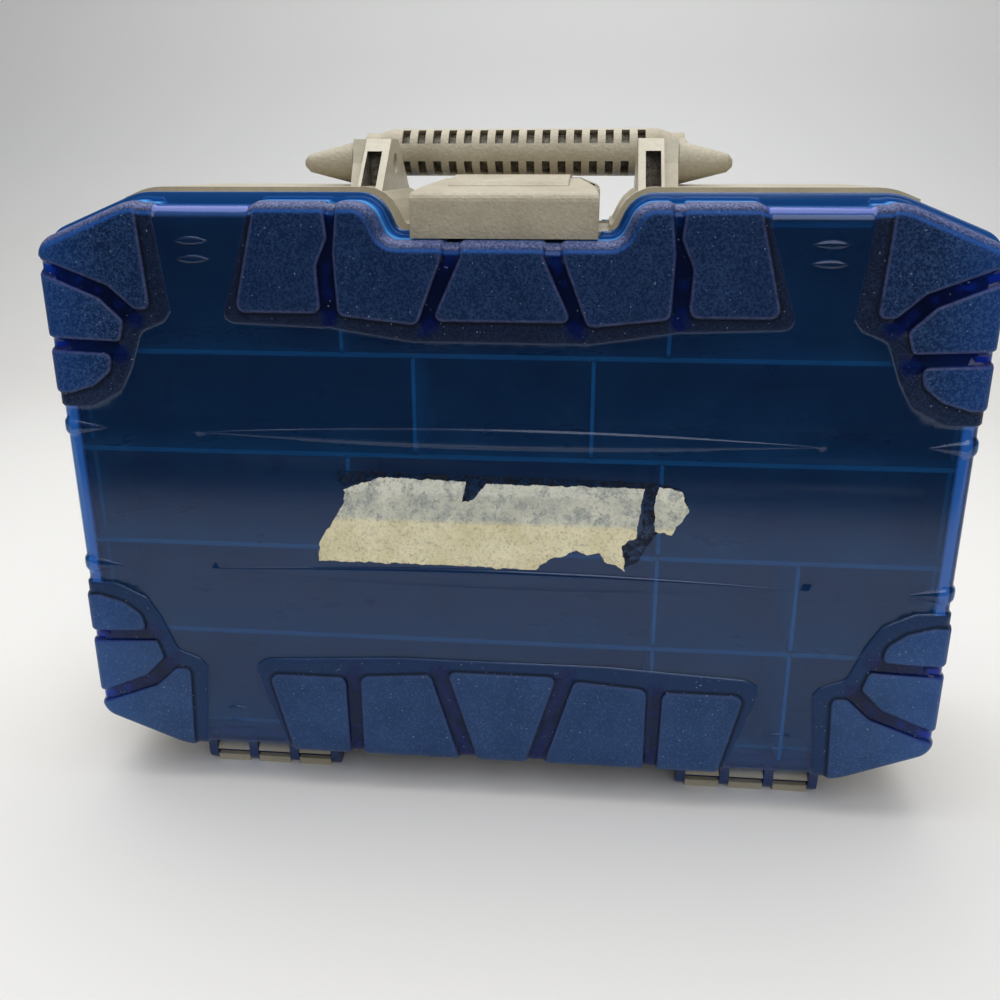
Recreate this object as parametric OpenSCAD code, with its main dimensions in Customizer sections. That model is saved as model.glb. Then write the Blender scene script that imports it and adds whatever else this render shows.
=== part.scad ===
// Double-sided tackle satchel standing on its hinge edge.
// X runs across the case, the front lid faces -Y, and Z is up from the ground.

/* [Case] */
// Width of a lid across its corner pads
lid_w = 451; // [430:1:480]
// Height of a lid from its lower pads to its upper pads
lid_h = 294; // [280:1:320]
// Thickness of the closed case over both lids
case_d = 146; // [136:1:170]
// Depth of one lid, from its pads to the parting face
lid_d = 26; // [24:0.5:32]
// Wall of the body
body_wall = 2.5; // [2:0.1:3.5]
// Stand-out of the body wall beyond the lid
body_out = 2; // [1:0.1:3]
// Stand-out of the body flanges beyond the lid
flange_out = 3; // [2.2:0.1:3.4]
// Thickness of a body flange
flange_t = 3; // [2:0.1:4]
// Stand-out of the carrying rail along the body's top beyond the lid
rail_out = 5.5; // [3:0.1:5.6]
// Width of the carrying rail from front to back
rail_d = 76; // [60:1:84]
// Corner taken off the trays' walls and dividers where they meet the lid
tray_corner = 2.5; // [2:0.1:4]

/* [Outline] */
// Width taken off each corner
corner_x = 47.5; // [40:0.5:56]
// Height taken off each corner
corner_z = 19; // [14:0.5:24]
// Half width of the latch notch at the lid's top edge
notch_half = 62; // [60:0.5:66]
// Depth of the latch notch
notch_drop = 17.4; // [15:0.1:20]
// Width of the slope on each side of the notch
notch_run = 8; // [6:0.5:10]

/* [Lid] */
// Wall of a lid
lid_wall = 2.4; // [1.8:0.1:3]
// Step from the pads down to the window panel
pad_step = 2.2; // [1.4:0.1:2.8]
// Step from the pads down to the bed round them
bed_step = 1.2; // [0.6:0.1:1.3]
// Stand-out of the lid's rim bead
bead_out = 3.5; // [2.5:0.1:4]
// Width of the lid's rim bead
bead_w = 4; // [3:0.5:5]
// Height of the long ribs and bumps moulded on the window
rib_h = 1.4; // [0.8:0.1:2]

/* [Trays] */
// Height from one row wall to the next
row_pitch = 50.4; // [46:0.2:52]
// Thickness of a row wall
row_wall_t = 2.2; // [1.8:0.1:3]
// Thickness of the wall between the two trays
mid_wall_t = 2.5; // [2:0.1:4]
// Distance from one divider slot to the next
slot_pitch = 17.4; // [15:0.1:18]
// Thickness of a removable divider
divider_t = 1.8; // [1.2:0.1:2.4]
// Depth of a divider slot in a row wall
slot_depth = 0.6; // [0.4:0.1:0.8]
// Gap from a divider's front edge to the lid
divider_gap = 1.4; // [0.8:0.1:3]

/* [Hinges] */
// Distance from the centre of the case to the middle of each hinge
hinge_x = 134.3; // [128:0.1:136]
// Width of one hinge lug
lug_w = 5; // [4:0.1:6]
// Width of one hinge clip
clip_w = 18.4; // [14:0.1:19]
// Drop from a lid's lower edge to the hinge axis
hinge_drop = 14; // [13:0.5:18]
// Radius of a hinge knuckle
knuckle_r = 6; // [5:0.1:6.5]
// Radius of a hinge rod
rod_r = 2.8; // [2:0.1:3.2]
// Mouth of a hinge clip
mouth_h = 3.2; // [2:0.1:3.6]

/* [Latches] */
// Width of a latch
latch_w = 87.4; // [80:0.1:88]
// Distance from a lid's pads back to the latch's face
latch_setback = 9; // [6:0.5:10]
// Height of a latch's front skirt
latch_h = 20.6; // [18:0.1:24]
// Rise of a latch's top from front to back
latch_rise = 5.4; // [3:0.1:8]
// Wall of a latch
latch_wall = 2.5; // [2:0.1:3.5]
// Radius of a latch pin
latch_pin_r = 2; // [1.5:0.1:2.5]
// Radius of a latch knuckle
latch_knuckle_r = 5; // [4:0.1:5.5]
// Height of the raised thumb pad on a latch
thumb_h = 1.7; // [0.8:0.1:2.5]
// Radius on a latch's upper edges
latch_round = 4; // [2:0.1:5]

/* [Towers] */
// Distance from the centre to a tower's inner face at its top
tower_in = 62; // [60:0.5:64]
// Width of a tower's plate at the top
tower_w = 12.6; // [11:0.1:14]
// Width of a tower's outer boss
boss_w = 7.4; // [5:0.1:9]
// Height of a tower's top above the lid's top edge
tower_h = 28; // [24:0.5:32]
// Depth of a tower at its top
tower_top_d = 18; // [14:0.5:22]
// Depth of a tower at its foot
tower_foot_d = 76; // [66:0.5:76]

/* [Handle] */
// Height of the handle's axis above the lid's top edge
pivot_h = 16.4; // [14:0.1:18]
// Distance from the handle's axis to the grip's centre
arm_l = 60; // [54:0.5:60]
// Height of the folded grip's centre above the handle's axis
fold_rise = 5.6; // [4:0.1:9]
// Radius of the grip
grip_r = 12.6; // [11:0.1:12.8]
// Number of finger slots in one row
grip_slots = 16; // [10:1:16]
// Distance from one finger slot to the next
grip_pitch = 8.75; // [8:0.05:8.9]
// Width of a finger slot
grip_slot_w = 4.4; // [3:0.1:5.5]
// Height of the plain band between the rows of finger slots
grip_band = 9.4; // [7:0.1:12]
// Width of the plain spines along the grip's top and bottom
grip_spine = 8.6; // [5:0.1:10]
// Depth of a finger slot
grip_slot_d = 4.6; // [3:0.1:6]
// Length of the taper at each end of the grip
grip_taper = 8; // [4:0.5:10]
// Radius of a pivot cone at the tower
cone_r = 10.5; // [9:0.1:11]
// Radius of a pivot cone at its tip
tip_r = 4.5; // [3:0.1:6]
// Length of a pivot cone
cone_l = 27; // [22:0.5:32]
// Thickness of a handle arm
arm_t = 7; // [5:0.1:9]
// Radius of a pivot pin
pivot_r = 5; // [4:0.1:5.5]

/* [Fits] */
// Gap between pieces that slide or lift past each other
fit_gap = 0.3; // [0.2:0.05:0.5]
// Radial clearance of a pin or rod in its bore
pin_gap = 0.05; // [0.02:0.01:0.09]

/* [Hidden] */
$fn = 64;

beige = "#b9b09a";
pale_beige = "#c9c1ae";
clear_blue = "#173f7d";
steel = "#a7a9ab";

half_w = lid_w / 2;
half_h = lid_h / 2;
half_d = case_d / 2;
body_d = half_d - lid_d;
axis_z = knuckle_r;
centre_z = axis_z + hinge_drop + half_h;
top_z = centre_z + half_h;
notch_z = top_z - notch_drop;
arc_steps = 4;
lens_steps = 8;
eps = 0.01;

// Fillets of the outline at its full size: corner, long bend, notch shoulder, notch root
corner_fillet = 12;
bend_fillet = 30;
shoulder_fillet = 12;
root_fillet = 8.4;

// The outline's vertices, anticlockwise from the lower left, as [x, z, fillet]
bend_x = half_w - corner_x;
corner_h = half_h - corner_z;
case_outline = [
    [-bend_x, -half_h, bend_fillet], [bend_x, -half_h, bend_fillet],
    [half_w, -corner_h, corner_fillet], [half_w, corner_h, corner_fillet],
    [bend_x, half_h, bend_fillet], [notch_half, half_h, shoulder_fillet],
    [notch_half - notch_run, half_h - notch_drop, root_fillet],
    [notch_run - notch_half, half_h - notch_drop, root_fillet],
    [-notch_half, half_h, shoulder_fillet], [-bend_x, half_h, bend_fillet],
    [-half_w, corner_h, corner_fillet], [-half_w, -corner_h, corner_fillet]
];

function unit(v) = v / norm(v);
function left_of(v) = [-v[1], v[0]];
function turned(v, a) = [v[0] * cos(a) - v[1] * sin(a), v[0] * sin(a) + v[1] * cos(a)];
function flat(v) = [v[0], v[1]];

// One vertex of an outline moved in by inset, as the points of its fillet
function corner_points(before, here, after, inset, steps) =
    let (
        u = unit(flat(here) - flat(before)),
        v = unit(flat(after) - flat(here)),
        convex = u[0] * v[1] - u[1] * v[0] > 0 ? 1 : -1,
        turn = acos(u * v),
        r = max(here[2] - convex * inset, 0.3),
        vertex = flat(here) + inset * (left_of(u) + left_of(v)) / (1 + u * v),
        centre = vertex - u * r * tan(turn / 2) + convex * left_of(u) * r
    )
    [for (k = [0:steps]) centre - turned(convex * left_of(u) * r, convex * turn * k / steps)];

// A filleted outline moved in by inset; a negative inset moves it out
function inset_outline(outline, inset, steps = arc_steps) =
    let (n = len(outline))
    [for (i = [0:n - 1]) each corner_points(
        outline[(i + n - 1) % n], outline[i], outline[(i + 1) % n], inset, steps)];

// The case outline moved in by inset, extruded from y0 to y1
module case_prism(inset, y0, y1) {
    translate([0, y1, centre_z]) rotate([90, 0, 0])
        linear_extrude(y1 - y0) polygon(inset_outline(case_outline, inset));
}

// A plane shape drawn in X and Z, extruded from y0 to y1
module front_prism(y0, y1) {
    translate([0, y1, centre_z]) rotate([90, 0, 0]) linear_extrude(y1 - y0) children();
}

// A plane shape drawn in Y and Z, extruded from x0 to x1
module side_prism(x0, x1) {
    translate([x0, 0, 0]) rotate([90, 0, 90]) linear_extrude(x1 - x0) children();
}

// The copy of a front piece on the rear of the case
module on_rear() {
    rotate([0, 0, 180]) children();
}

// The copy of a left-hand piece on the right
module on_right() {
    mirror([1, 0, 0]) children();
}

// ---- Body -------------------------------------------------------------------

// The moulding that carries everything: a wall with a flange and a lip at each parting face
lid_base_inset = 2;
lip_l = 3;
lip_out = lid_base_inset + lid_wall + 2 * fit_gap;
lip_in = lip_out + 2.1;
wall_in = body_wall - body_out;
rail_in = notch_half - 13;
rail_end = 14;

module case_body() {
    color(beige) difference() {
        union() {
            case_prism(-body_out, -body_d, body_d);
            case_prism(-flange_out, -body_d, flange_t - body_d);
            case_prism(-flange_out, body_d - flange_t, body_d);
            case_prism(lip_out, -body_d - lip_l, body_d + lip_l);
            body_rail();
        }
        case_prism(lip_in, -body_d - lip_l - 1, body_d + lip_l + 1);
        case_prism(wall_in, flange_t - body_d, body_d - flange_t);
    }
}

// The rail on each side of the latches, which carries the towers and rounds down into the notch
module body_rail() {
    both_sides() intersection() {
        case_prism(-rail_out, -rail_d / 2, rail_d / 2);
        translate([rail_in, -half_d, notch_z]) cube([bend_x + rail_end - rail_in, case_d, 2 * notch_drop]);
    }
}

module mid_wall() {
    color(beige) case_prism(wall_in, -mid_wall_t / 2, mid_wall_t / 2);
}

// ---- Trays ------------------------------------------------------------------

rows = 5;
tray_front = half_d - pad_step - lid_wall - divider_gap;
tray_back = mid_wall_t / 2;
shoulder_y = body_d - flange_t;
wall_half = half_w - wall_in;
lip_half = half_w - lip_in - fit_gap;

// Fitted dividers as [row from the top, place in slots from the centre]
fitted = [
    [1, -4.5], [1, 4.5], [2, -2.5], [2, 2.5], [3, -4.5],
    [3, 4.5], [4, 4.5], [4, 8.5], [5, 4.5], [5, 8.5]
];

// Height of the row wall below a row, from the centre
function row_floor(row) = (rows / 2 - row) * row_pitch;

module divider_slot(x, z) {
    slot_w = divider_t + 2 * fit_gap;
    translate([x - slot_w / 2, -tray_front - 1, z - slot_depth])
        cube([slot_w, tray_front - tray_back + 1 + eps, 2 * slot_depth]);
}

module row_walls() {
    for (row = [1:rows - 1]) difference() {
        translate([0, 0, centre_z + row_floor(row) - row_wall_t / 2]) linear_extrude(row_wall_t)
            polygon([
                [-lip_half, tray_corner - tray_front], [tray_corner - lip_half, -tray_front],
                [lip_half - tray_corner, -tray_front], [lip_half, tray_corner - tray_front],
                [lip_half, -shoulder_y + fit_gap], [wall_half, -shoulder_y + fit_gap],
                [wall_half, -tray_back], [-wall_half, -tray_back],
                [-wall_half, -shoulder_y + fit_gap], [-lip_half, -shoulder_y + fit_gap]
            ]);
        for (d = fitted) {
            if (d[0] == row)
                divider_slot(d[1] * slot_pitch, centre_z + row_floor(row) + row_wall_t / 2);
            if (d[0] == row + 1)
                divider_slot(d[1] * slot_pitch, centre_z + row_floor(row) - row_wall_t / 2);
        }
    }
}

module divider(row, place) {
    top_slot = row_floor(row - 1) - row_wall_t / 2 + slot_depth - fit_gap;
    bottom_slot = row_floor(row) + row_wall_t / 2 - slot_depth + fit_gap;
    top_wall = row == 1 ? half_h - wall_in - fit_gap : top_slot;
    top_lip = row == 1 ? half_h - lip_in - fit_gap : top_slot;
    bottom_wall = row == rows ? -half_h + wall_in + fit_gap : bottom_slot;
    bottom_lip = row == rows ? -half_h + lip_in + fit_gap : bottom_slot;
    x = place * slot_pitch;
    translate([0, 0, centre_z]) side_prism(x - divider_t / 2, x + divider_t / 2) polygon([
        [-tray_front, bottom_lip + tray_corner], [tray_corner - tray_front, bottom_lip],
        [-shoulder_y + fit_gap, bottom_lip],
        [-shoulder_y + fit_gap, bottom_wall], [-tray_back, bottom_wall],
        [-tray_back, top_wall], [-shoulder_y + fit_gap, top_wall],
        [-shoulder_y + fit_gap, top_lip], [tray_corner - tray_front, top_lip],
        [-tray_front, top_lip - tray_corner]
    ]);
}

module dividers() {
    for (d = fitted) divider(d[0], d[1]);
}

module front_row_walls() { color(beige) row_walls(); }
module rear_row_walls() { color(beige) on_rear() row_walls(); }
module front_dividers() { color(pale_beige) dividers(); }
module rear_dividers() { color(pale_beige) on_rear() dividers(); }

// ---- Lids -------------------------------------------------------------------

// Each skin of a lid is a loft through [depth from the pads, inset] sections, cut flat at both ends
bead_mid = lid_d - bead_w / 2;
base_skin = [
    [pad_step - 1, 12], [pad_step + 0.5, 6.6], [pad_step + 2.2, 4],
    [9, lid_base_inset + 0.3], [lid_d, lid_base_inset]
];
bed_skin = [
    [bed_step - 1, 10.4], [bed_step + 0.5, 5.6], [bed_step + 2, 3.2], [9, 1.1], [lid_d, 1]
];
pad_skin = [[-1, 9.2], [0.5, 4.4], [1.8, 2.4], [4.2, 0.8], [8.5, 0], [lid_d, 0]];
hollow_skin = [
    [pad_step + lid_wall - 1, 13.8], [pad_step + lid_wall + 0.8, 8.4],
    [10, lid_base_inset + lid_wall], [lid_d + 1, lid_base_inset + lid_wall]
];

// The solid inside one skin of the front lid, between two depths from the pads
module lid_solid(skin, front, back) {
    intersection() {
        lid_loft(skin);
        translate([-half_w - 1, front - half_d, centre_z - half_h - 1])
            cube([lid_w + 2, back - front, lid_h + 2]);
    }
}

module lid_loft(skin) {
    rings = [for (s = skin) inset_outline(case_outline, s[1])];
    n = len(rings[0]);
    last = len(skin) - 1;
    points = [for (s = [0:last]) for (p = rings[s]) [p[0], skin[s][0] - half_d, centre_z + p[1]]];
    faces = concat(
        [[for (i = [0:n - 1]) n - 1 - i]],
        [[for (i = [0:n - 1]) last * n + i]],
        [for (s = [0:last - 1]) for (i = [0:n - 1])
            let (j = (i + 1) % n) each [
                [s * n + i, s * n + j, (s + 1) * n + j],
                [s * n + i, (s + 1) * n + j, (s + 1) * n + i]
            ]]
    );
    polyhedron(points, faces);
}

// Pads of one corner as [x, z, fillet], drawn for the lower right and running past the edge
edge_x = half_w + 10;
edge_z = half_h + 10;
corner_pads = [
    [[edge_x, -56, 1], [216, -55, 3], [203, -59, 6], [194, -66, 6], [192, -75, 3], [edge_x, -77, 1]],
    [[edge_x, -83, 1], [187, -81, 3], [184, -91, 3], [195, -102, 4], [edge_x, -119, 1]],
    [[edge_x, -125.5, 1], [190, -108, 6], [178, -97, 3], [170, -97, 3], [173, -edge_z, 1],
        [edge_x, -edge_z, 1]]
];
corner_bed = [
    [edge_x, -47, 1], [206, -48, 8], [190, -56, 8], [183, -68, 8], [176, -86, 5], [164, -91, 3],
    [160, -96, 3], [166, -edge_z, 1], [edge_x, -edge_z, 1]
];

// Pads along the lower edge, right half, and along the upper edge, right half
lower_pads = [
    [[22, -edge_z, 1], [24, -141, 3], [38, -94, 4], [76, -97, 4], [76, -edge_z, 1]],
    [[83, -edge_z, 1], [84, -98, 4], [126, -98, 4], [112, -edge_z, 1]]
];
lower_middle_pad = [[9, -edge_z, 1], [29, -92, 3], [-29, -92, 3], [-9, -edge_z, 1]];
lower_bed = [
    [114, -edge_z, 1], [135, -93, 6], [126, -89, 8], [54, -85, 30], [-54, -85, 30],
    [-126, -89, 8], [-135, -93, 6], [-114, -edge_z, 1]
];
upper_pads = [
    [[112, edge_z, 1], [84, edge_z, 1], [81, 131, 5], [87, 118, 8], [86, 96, 4], [128, 96, 4]],
    [[75, edge_z, 1], [28, edge_z, 1], [28, 122, 1], [40, 91, 4], [78, 95, 4], [79, 124, 8]]
];
upper_middle_pad = [[-19, edge_z, 1], [-19, 123, 1], [-33, 93, 3], [33, 93, 3], [19, 123, 1],
    [19, edge_z, 1]];
upper_bed = [
    [-114, edge_z, 1], [-136, 91, 5], [-82, 89, 12], [-42, 83, 12], [42, 83, 12], [82, 89, 12],
    [136, 91, 5], [114, edge_z, 1]
];

module pad_prisms(outlines, inset = 0) {
    for (o = outlines) front_prism(-half_d - 1, bead_mid - half_d + 1)
        polygon(inset_outline(o, inset, 2));
}

// Children and their mirror images to the left, below, or both
module both_sides() {
    children();
    on_right() children();
}

module mirrored_up() {
    translate([0, 0, centre_z]) mirror([0, 0, 1]) translate([0, 0, -centre_z]) children();
}

function reversed(list) = [for (i = [len(list) - 1:-1:0]) list[i]];

module lid_pads() {
    both_sides() {
        pad_prisms([for (o = corner_pads) reversed(o)]);
        mirrored_up() pad_prisms([for (o = corner_pads) reversed(o)]);
        pad_prisms([for (o = lower_pads) reversed(o)]);
        pad_prisms(upper_pads);
    }
    pad_prisms([lower_middle_pad, reversed(upper_middle_pad)]);
}

module lid_beds() {
    both_sides() {
        pad_prisms([reversed(corner_bed)]);
        mirrored_up() pad_prisms([reversed(corner_bed)]);
    }
    pad_prisms([lower_bed, reversed(upper_bed)]);
}

// A raised lens on the window panel
module lens(x, z, l, h) {
    r = (l * l / 4 + h * h / 4) / h;
    arc = asin(l / 2 / r);
    front_prism(pad_step - rib_h - half_d, 2 * pad_step - half_d) translate([x, z]) polygon([
        for (side = [-1, 1]) for (k = [0:lens_steps - 1])
            let (a = arc * (2 * k / lens_steps - 1)) side * [r * sin(a), r - h / 2 - r * cos(a)]
    ]);
}

module window_ribs() {
    lens(0, 36, 310, 10);
    lens(0, -38, 307, 10);
    for (side = [-1, 1]) {
        for (z = [37, -38]) lens(side * half_w, z, 51, 6);
        for (z = [129, 120.5]) lens(side * 147, z, 17, 4.6);
        for (z = [-120.5, -129]) lens(side * 146, z, 12, 3.4);
    }
}

module lid() {
    difference() {
        union() {
            lid_solid(base_skin, pad_step, bead_mid);
            intersection() {
                lid_solid(bed_skin, bed_step, bead_mid - 0.6);
                lid_beds();
            }
            intersection() {
                lid_solid(pad_skin, 0, bead_mid - 1.2);
                union() {
                    lid_pads();
                    window_ribs();
                }
            }
            difference() {
                case_prism(-bead_out, -body_d - bead_w, -body_d);
                translate([-latch_w / 2 - 1, -body_d - bead_w - 1, notch_z])
                    cube([latch_w + 2, bead_w + 2, notch_drop]);
            }
        }
        lid_solid(hollow_skin, pad_step + lid_wall, lid_d + 0.5);
    }
}

module front_lid() { color(clear_blue) lid(); }
module rear_lid() { color(clear_blue) on_rear() lid(); }

// ---- Hinges -----------------------------------------------------------------

lugs = 4;
hinge_pitch = lug_w + clip_w + 2 * fit_gap;
lug_span = 6.5;
hinge_half = (lugs - 1) * hinge_pitch / 2;

// Lugs of one hinge of the front lid, moulded in one with the rod between them
module hinge_lug_set(x) {
    difference() {
        union() {
            for (i = [0:lugs - 1]) side_prism(
                x - hinge_half + i * hinge_pitch - lug_w / 2, x - hinge_half + i * hinge_pitch + lug_w / 2) {
                translate([-body_d, axis_z]) circle(knuckle_r);
                polygon([
                    [-body_d - lug_span, axis_z + hinge_drop + lid_base_inset],
                    [-body_d - lug_span, axis_z + hinge_drop / 2], [-body_d - knuckle_r, axis_z],
                    [-body_d - eps, axis_z], [-body_d - eps, axis_z + hinge_drop + lid_base_inset]
                ]);
            }
            side_prism(x - hinge_half, x + hinge_half) translate([-body_d, axis_z]) circle(rod_r);
        }
        case_prism(0, -half_d, -body_d);
        case_prism(-bead_out, -body_d - bead_w, -body_d);
    }
}

// Clips of one hinge, moulded on the body, that grip the rod from behind
module hinge_clip_set(x) {
    for (i = [0.5:lugs - 1.5]) {
        x0 = x - hinge_half + i * hinge_pitch - clip_w / 2;
        side_prism(x0, x0 + clip_w) difference() {
            union() {
                translate([-body_d, axis_z]) circle(knuckle_r);
                translate([-body_d - knuckle_r + 1, 0]) square([2 * knuckle_r - 1, axis_z - mouth_h / 2]);
                polygon([
                    [-body_d + 0.5, axis_z], [-body_d + knuckle_r, 0],
                    [-body_d + knuckle_r, axis_z + hinge_drop - body_out],
                    [-body_d + flange_t, axis_z + hinge_drop - body_out],
                    [-body_d + flange_t, axis_z + hinge_drop - flange_out],
                    [-body_d + 0.5, axis_z + hinge_drop - flange_out]
                ]);
            }
            translate([-body_d, axis_z]) circle(rod_r + pin_gap);
            translate([-body_d - 2 * knuckle_r, axis_z - mouth_h / 2]) square([2 * knuckle_r, mouth_h]);
        }
    }
}

module front_hinge_lugs() {
    color(clear_blue) both_sides() hinge_lug_set(hinge_x);
}
module rear_hinge_lugs() {
    color(clear_blue) on_rear() both_sides() hinge_lug_set(hinge_x);
}
module front_hinge_clips() {
    color(beige) both_sides() hinge_clip_set(hinge_x);
}
module rear_hinge_clips() {
    color(beige) on_rear() both_sides() hinge_clip_set(hinge_x);
}

// ---- Latches ----------------------------------------------------------------

latch_face = half_d - latch_setback;
latch_foot = notch_z + 2 * fit_gap;
latch_top = latch_foot + latch_h;
latch_pin_y = latch_knuckle_r + 1.5;
latch_back = latch_pin_y + latch_knuckle_r - 0.3;
latch_pin_z = latch_top - latch_knuckle_r + 0.2;
ear_w = 4.7;
block_half = latch_w / 2 - ear_w - fit_gap;
latch_step_z = notch_z + flange_out + 2 * fit_gap;

// Height of a latch's top surface at the distance y from the centre
function latch_surface(y) = latch_top + latch_rise * (latch_face - y) / (latch_face - latch_back);

// The knuckle block between the two latches, on the body's notch
module latch_hinge_block() {
    color(beige) side_prism(-block_half, block_half) difference() {
        union() {
            for (side = [-1, 1]) translate([side * latch_pin_y, latch_pin_z]) circle(latch_knuckle_r);
            translate([-latch_pin_y - latch_knuckle_r, notch_z + body_out])
                square([2 * (latch_pin_y + latch_knuckle_r), latch_pin_z - notch_z - body_out]);
        }
        for (side = [-1, 1]) translate([side * latch_pin_y, latch_pin_z]) circle(latch_pin_r + pin_gap);
    }
}

module latch_pin() {
    pin_half = latch_w / 2 - fit_gap;
    side_prism(-pin_half, pin_half) translate([-latch_pin_y, latch_pin_z]) circle(latch_pin_r);
}

latch_slope = 90 + atan(latch_rise / (latch_face - latch_back));

// Points of an arc in a plane, from one angle to another
function arc(x, y, r, from, to, steps = arc_steps) =
    [for (k = [0:steps]) let (a = from + (to - from) * k / steps) [x + r * cos(a), y + r * sin(a)]];

module latch_side() {
    polygon([
        [-latch_face, latch_foot],
        each arc(latch_round - latch_face, latch_top - latch_round, latch_round, 180, latch_slope),
        [-latch_back, latch_surface(latch_back)], [-latch_back, latch_step_z],
        [-body_d - fit_gap * 2, latch_step_z], [-body_d - fit_gap * 2, latch_foot]
    ]);
}

module latch() {
    side_r = 1.2 * latch_round;
    lean = 30;
    side_x = latch_w / 2 - side_r;
    crown_x = side_x + side_r * sin(lean) - 2 * latch_rise * cos(lean) / sin(lean);
    thumb_half = 0.33 * latch_w;
    thumb_y = latch_back + 0.55 * (latch_face - latch_back);
    difference() {
        union() {
            intersection() {
                side_prism(-latch_w / 2, latch_w / 2) latch_side();
                front_prism(-half_d, 0) translate([0, -centre_z]) polygon([
                    [-latch_w / 2, latch_foot], [latch_w / 2, latch_foot],
                    each arc(side_x, latch_top - side_r / 2, side_r, 0, 90 - lean),
                    [crown_x, latch_top + 2 * latch_rise], [-crown_x, latch_top + 2 * latch_rise],
                    each arc(-side_x, latch_top - side_r / 2, side_r, 90 + lean, 180)
                ]);
            }
            for (side = [-1, 1]) {
                x0 = side > 0 ? latch_w / 2 - ear_w : -latch_w / 2;
                side_prism(x0, x0 + ear_w) {
                    translate([-latch_pin_y, latch_pin_z]) circle(latch_knuckle_r);
                    polygon([
                        [-latch_pin_y, latch_pin_z - latch_knuckle_r],
                        [-latch_pin_y, latch_pin_z + latch_knuckle_r],
                        [-latch_back - 2, latch_pin_z + latch_knuckle_r],
                        [-latch_back - 2, latch_pin_z - latch_knuckle_r]
                    ]);
                }
            }
            side_prism(-thumb_half, thumb_half) polygon([
                [-thumb_y, latch_surface(thumb_y) - 0.5], [-thumb_y, latch_surface(thumb_y)],
                [-thumb_y + thumb_h * 1.5, latch_surface(thumb_y) + thumb_h],
                [-latch_back, latch_surface(latch_back) + thumb_h],
                [-latch_back, latch_surface(latch_back) - 0.5]
            ]);
        }
        side_prism(latch_wall - latch_w / 2, latch_w / 2 - latch_wall) difference() {
            polygon([
                [-latch_face + latch_wall, latch_foot - 1],
                [-latch_face + latch_wall, latch_top - latch_wall - 1.5],
                [-latch_face + 2 * latch_wall, latch_top - latch_wall],
                [-latch_back, latch_surface(latch_back) - latch_wall],
                [-latch_back + 1, latch_surface(latch_back) - latch_wall],
                [-latch_back + 1, latch_foot - 1]
            ]);
        }
        side_prism(-latch_w / 2 - 1, latch_w / 2 + 1)
            translate([-latch_pin_y, latch_pin_z]) circle(latch_pin_r + pin_gap);
    }
}

module front_latch_pin() { color(steel) latch_pin(); }
module rear_latch_pin() { color(steel) on_rear() latch_pin(); }
module front_latch() { color(pale_beige) latch(); }
module rear_latch() { color(pale_beige) on_rear() latch(); }

// ---- Towers -----------------------------------------------------------------

pivot_z = top_z + pivot_h;
tower_top = top_z + tower_h;
tower_out = tower_in + tower_w + boss_w;
window_w = 7.4;
window_top = tower_top - 6;
pivot_core = pivot_r + 3;

// The right tower: a plate with a pocket front and back, a boss and a bore for the pivot pin
module tower() {
    foot_z = notch_z;
    inner_leg = 3.6;
    boss_step = 6;
    chamfer = 2;
    difference() {
        union() {
            side_prism(tower_in, tower_in + tower_w) polygon([
                [-tower_foot_d / 2, top_z + body_out], [-tower_foot_d / 2, foot_z],
                [tower_foot_d / 2, foot_z], [tower_foot_d / 2, top_z + body_out],
                [tower_top_d / 2, tower_top], [-tower_top_d / 2, tower_top]
            ]);
            side_prism(tower_in + tower_w, tower_out) polygon([
                [boss_step - tower_foot_d / 2, foot_z], [tower_foot_d / 2 - boss_step, foot_z],
                [tower_top_d / 2 + chamfer, pivot_z], [tower_top_d / 2 - chamfer, tower_top],
                [chamfer - tower_top_d / 2, tower_top], [-tower_top_d / 2 - chamfer, pivot_z]
            ]);
        }
        case_prism(-body_out, -body_d, body_d);
        body_rail();
        for (side = [-1, 1])
            translate([tower_in + inner_leg, side > 0 ? pivot_core : -body_d, notch_z])
                cube([window_w, body_d - pivot_core, window_top - notch_z]);
        translate([tower_in - 1, 0, pivot_z]) rotate([0, 90, 0])
            cylinder(r = pivot_r + pin_gap, h = tower_w + boss_w + 2);
    }
}

module right_tower() { color(pale_beige) tower(); }
module left_tower() { color(pale_beige) on_right() tower(); }

// ---- Handle -----------------------------------------------------------------

grip_y = arm_l;
grip_z = pivot_z + fold_rise;
hub_x = tower_out + fit_gap;
grip_half = hub_x + arm_t;

round_r = 2.5;
end_r = 0.82 * grip_r;
hub_r = cone_r + (tip_r - cone_r) * arm_t / (cone_l - round_r);

// Cone, hub and pivot pin of the right end, turned in one
module pivot_cone() {
    translate([hub_x, 0, pivot_z]) rotate([0, 90, 0]) rotate_extrude() polygon([
        [0, tower_in + 2 - hub_x], [pivot_r, tower_in + 2 - hub_x], [pivot_r, 0], [cone_r, 0],
        [tip_r, cone_l - round_r], [tip_r - 0.7 * round_r, cone_l - 0.3 * round_r],
        [tip_r - round_r, cone_l], [0, cone_l]
    ]);
}

module handle_arm() {
    waist = 0.8;
    difference() {
        side_prism(hub_x, hub_x + arm_t) {
            translate([0, pivot_z]) circle(hub_r);
            translate([grip_y, grip_z]) circle(end_r);
            polygon([
                [0, pivot_z - waist * hub_r], [grip_y, grip_z - waist * end_r],
                [grip_y, grip_z + waist * end_r], [0, pivot_z + waist * hub_r]
            ]);
        }
        pivot_cone();
    }
}

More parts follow.
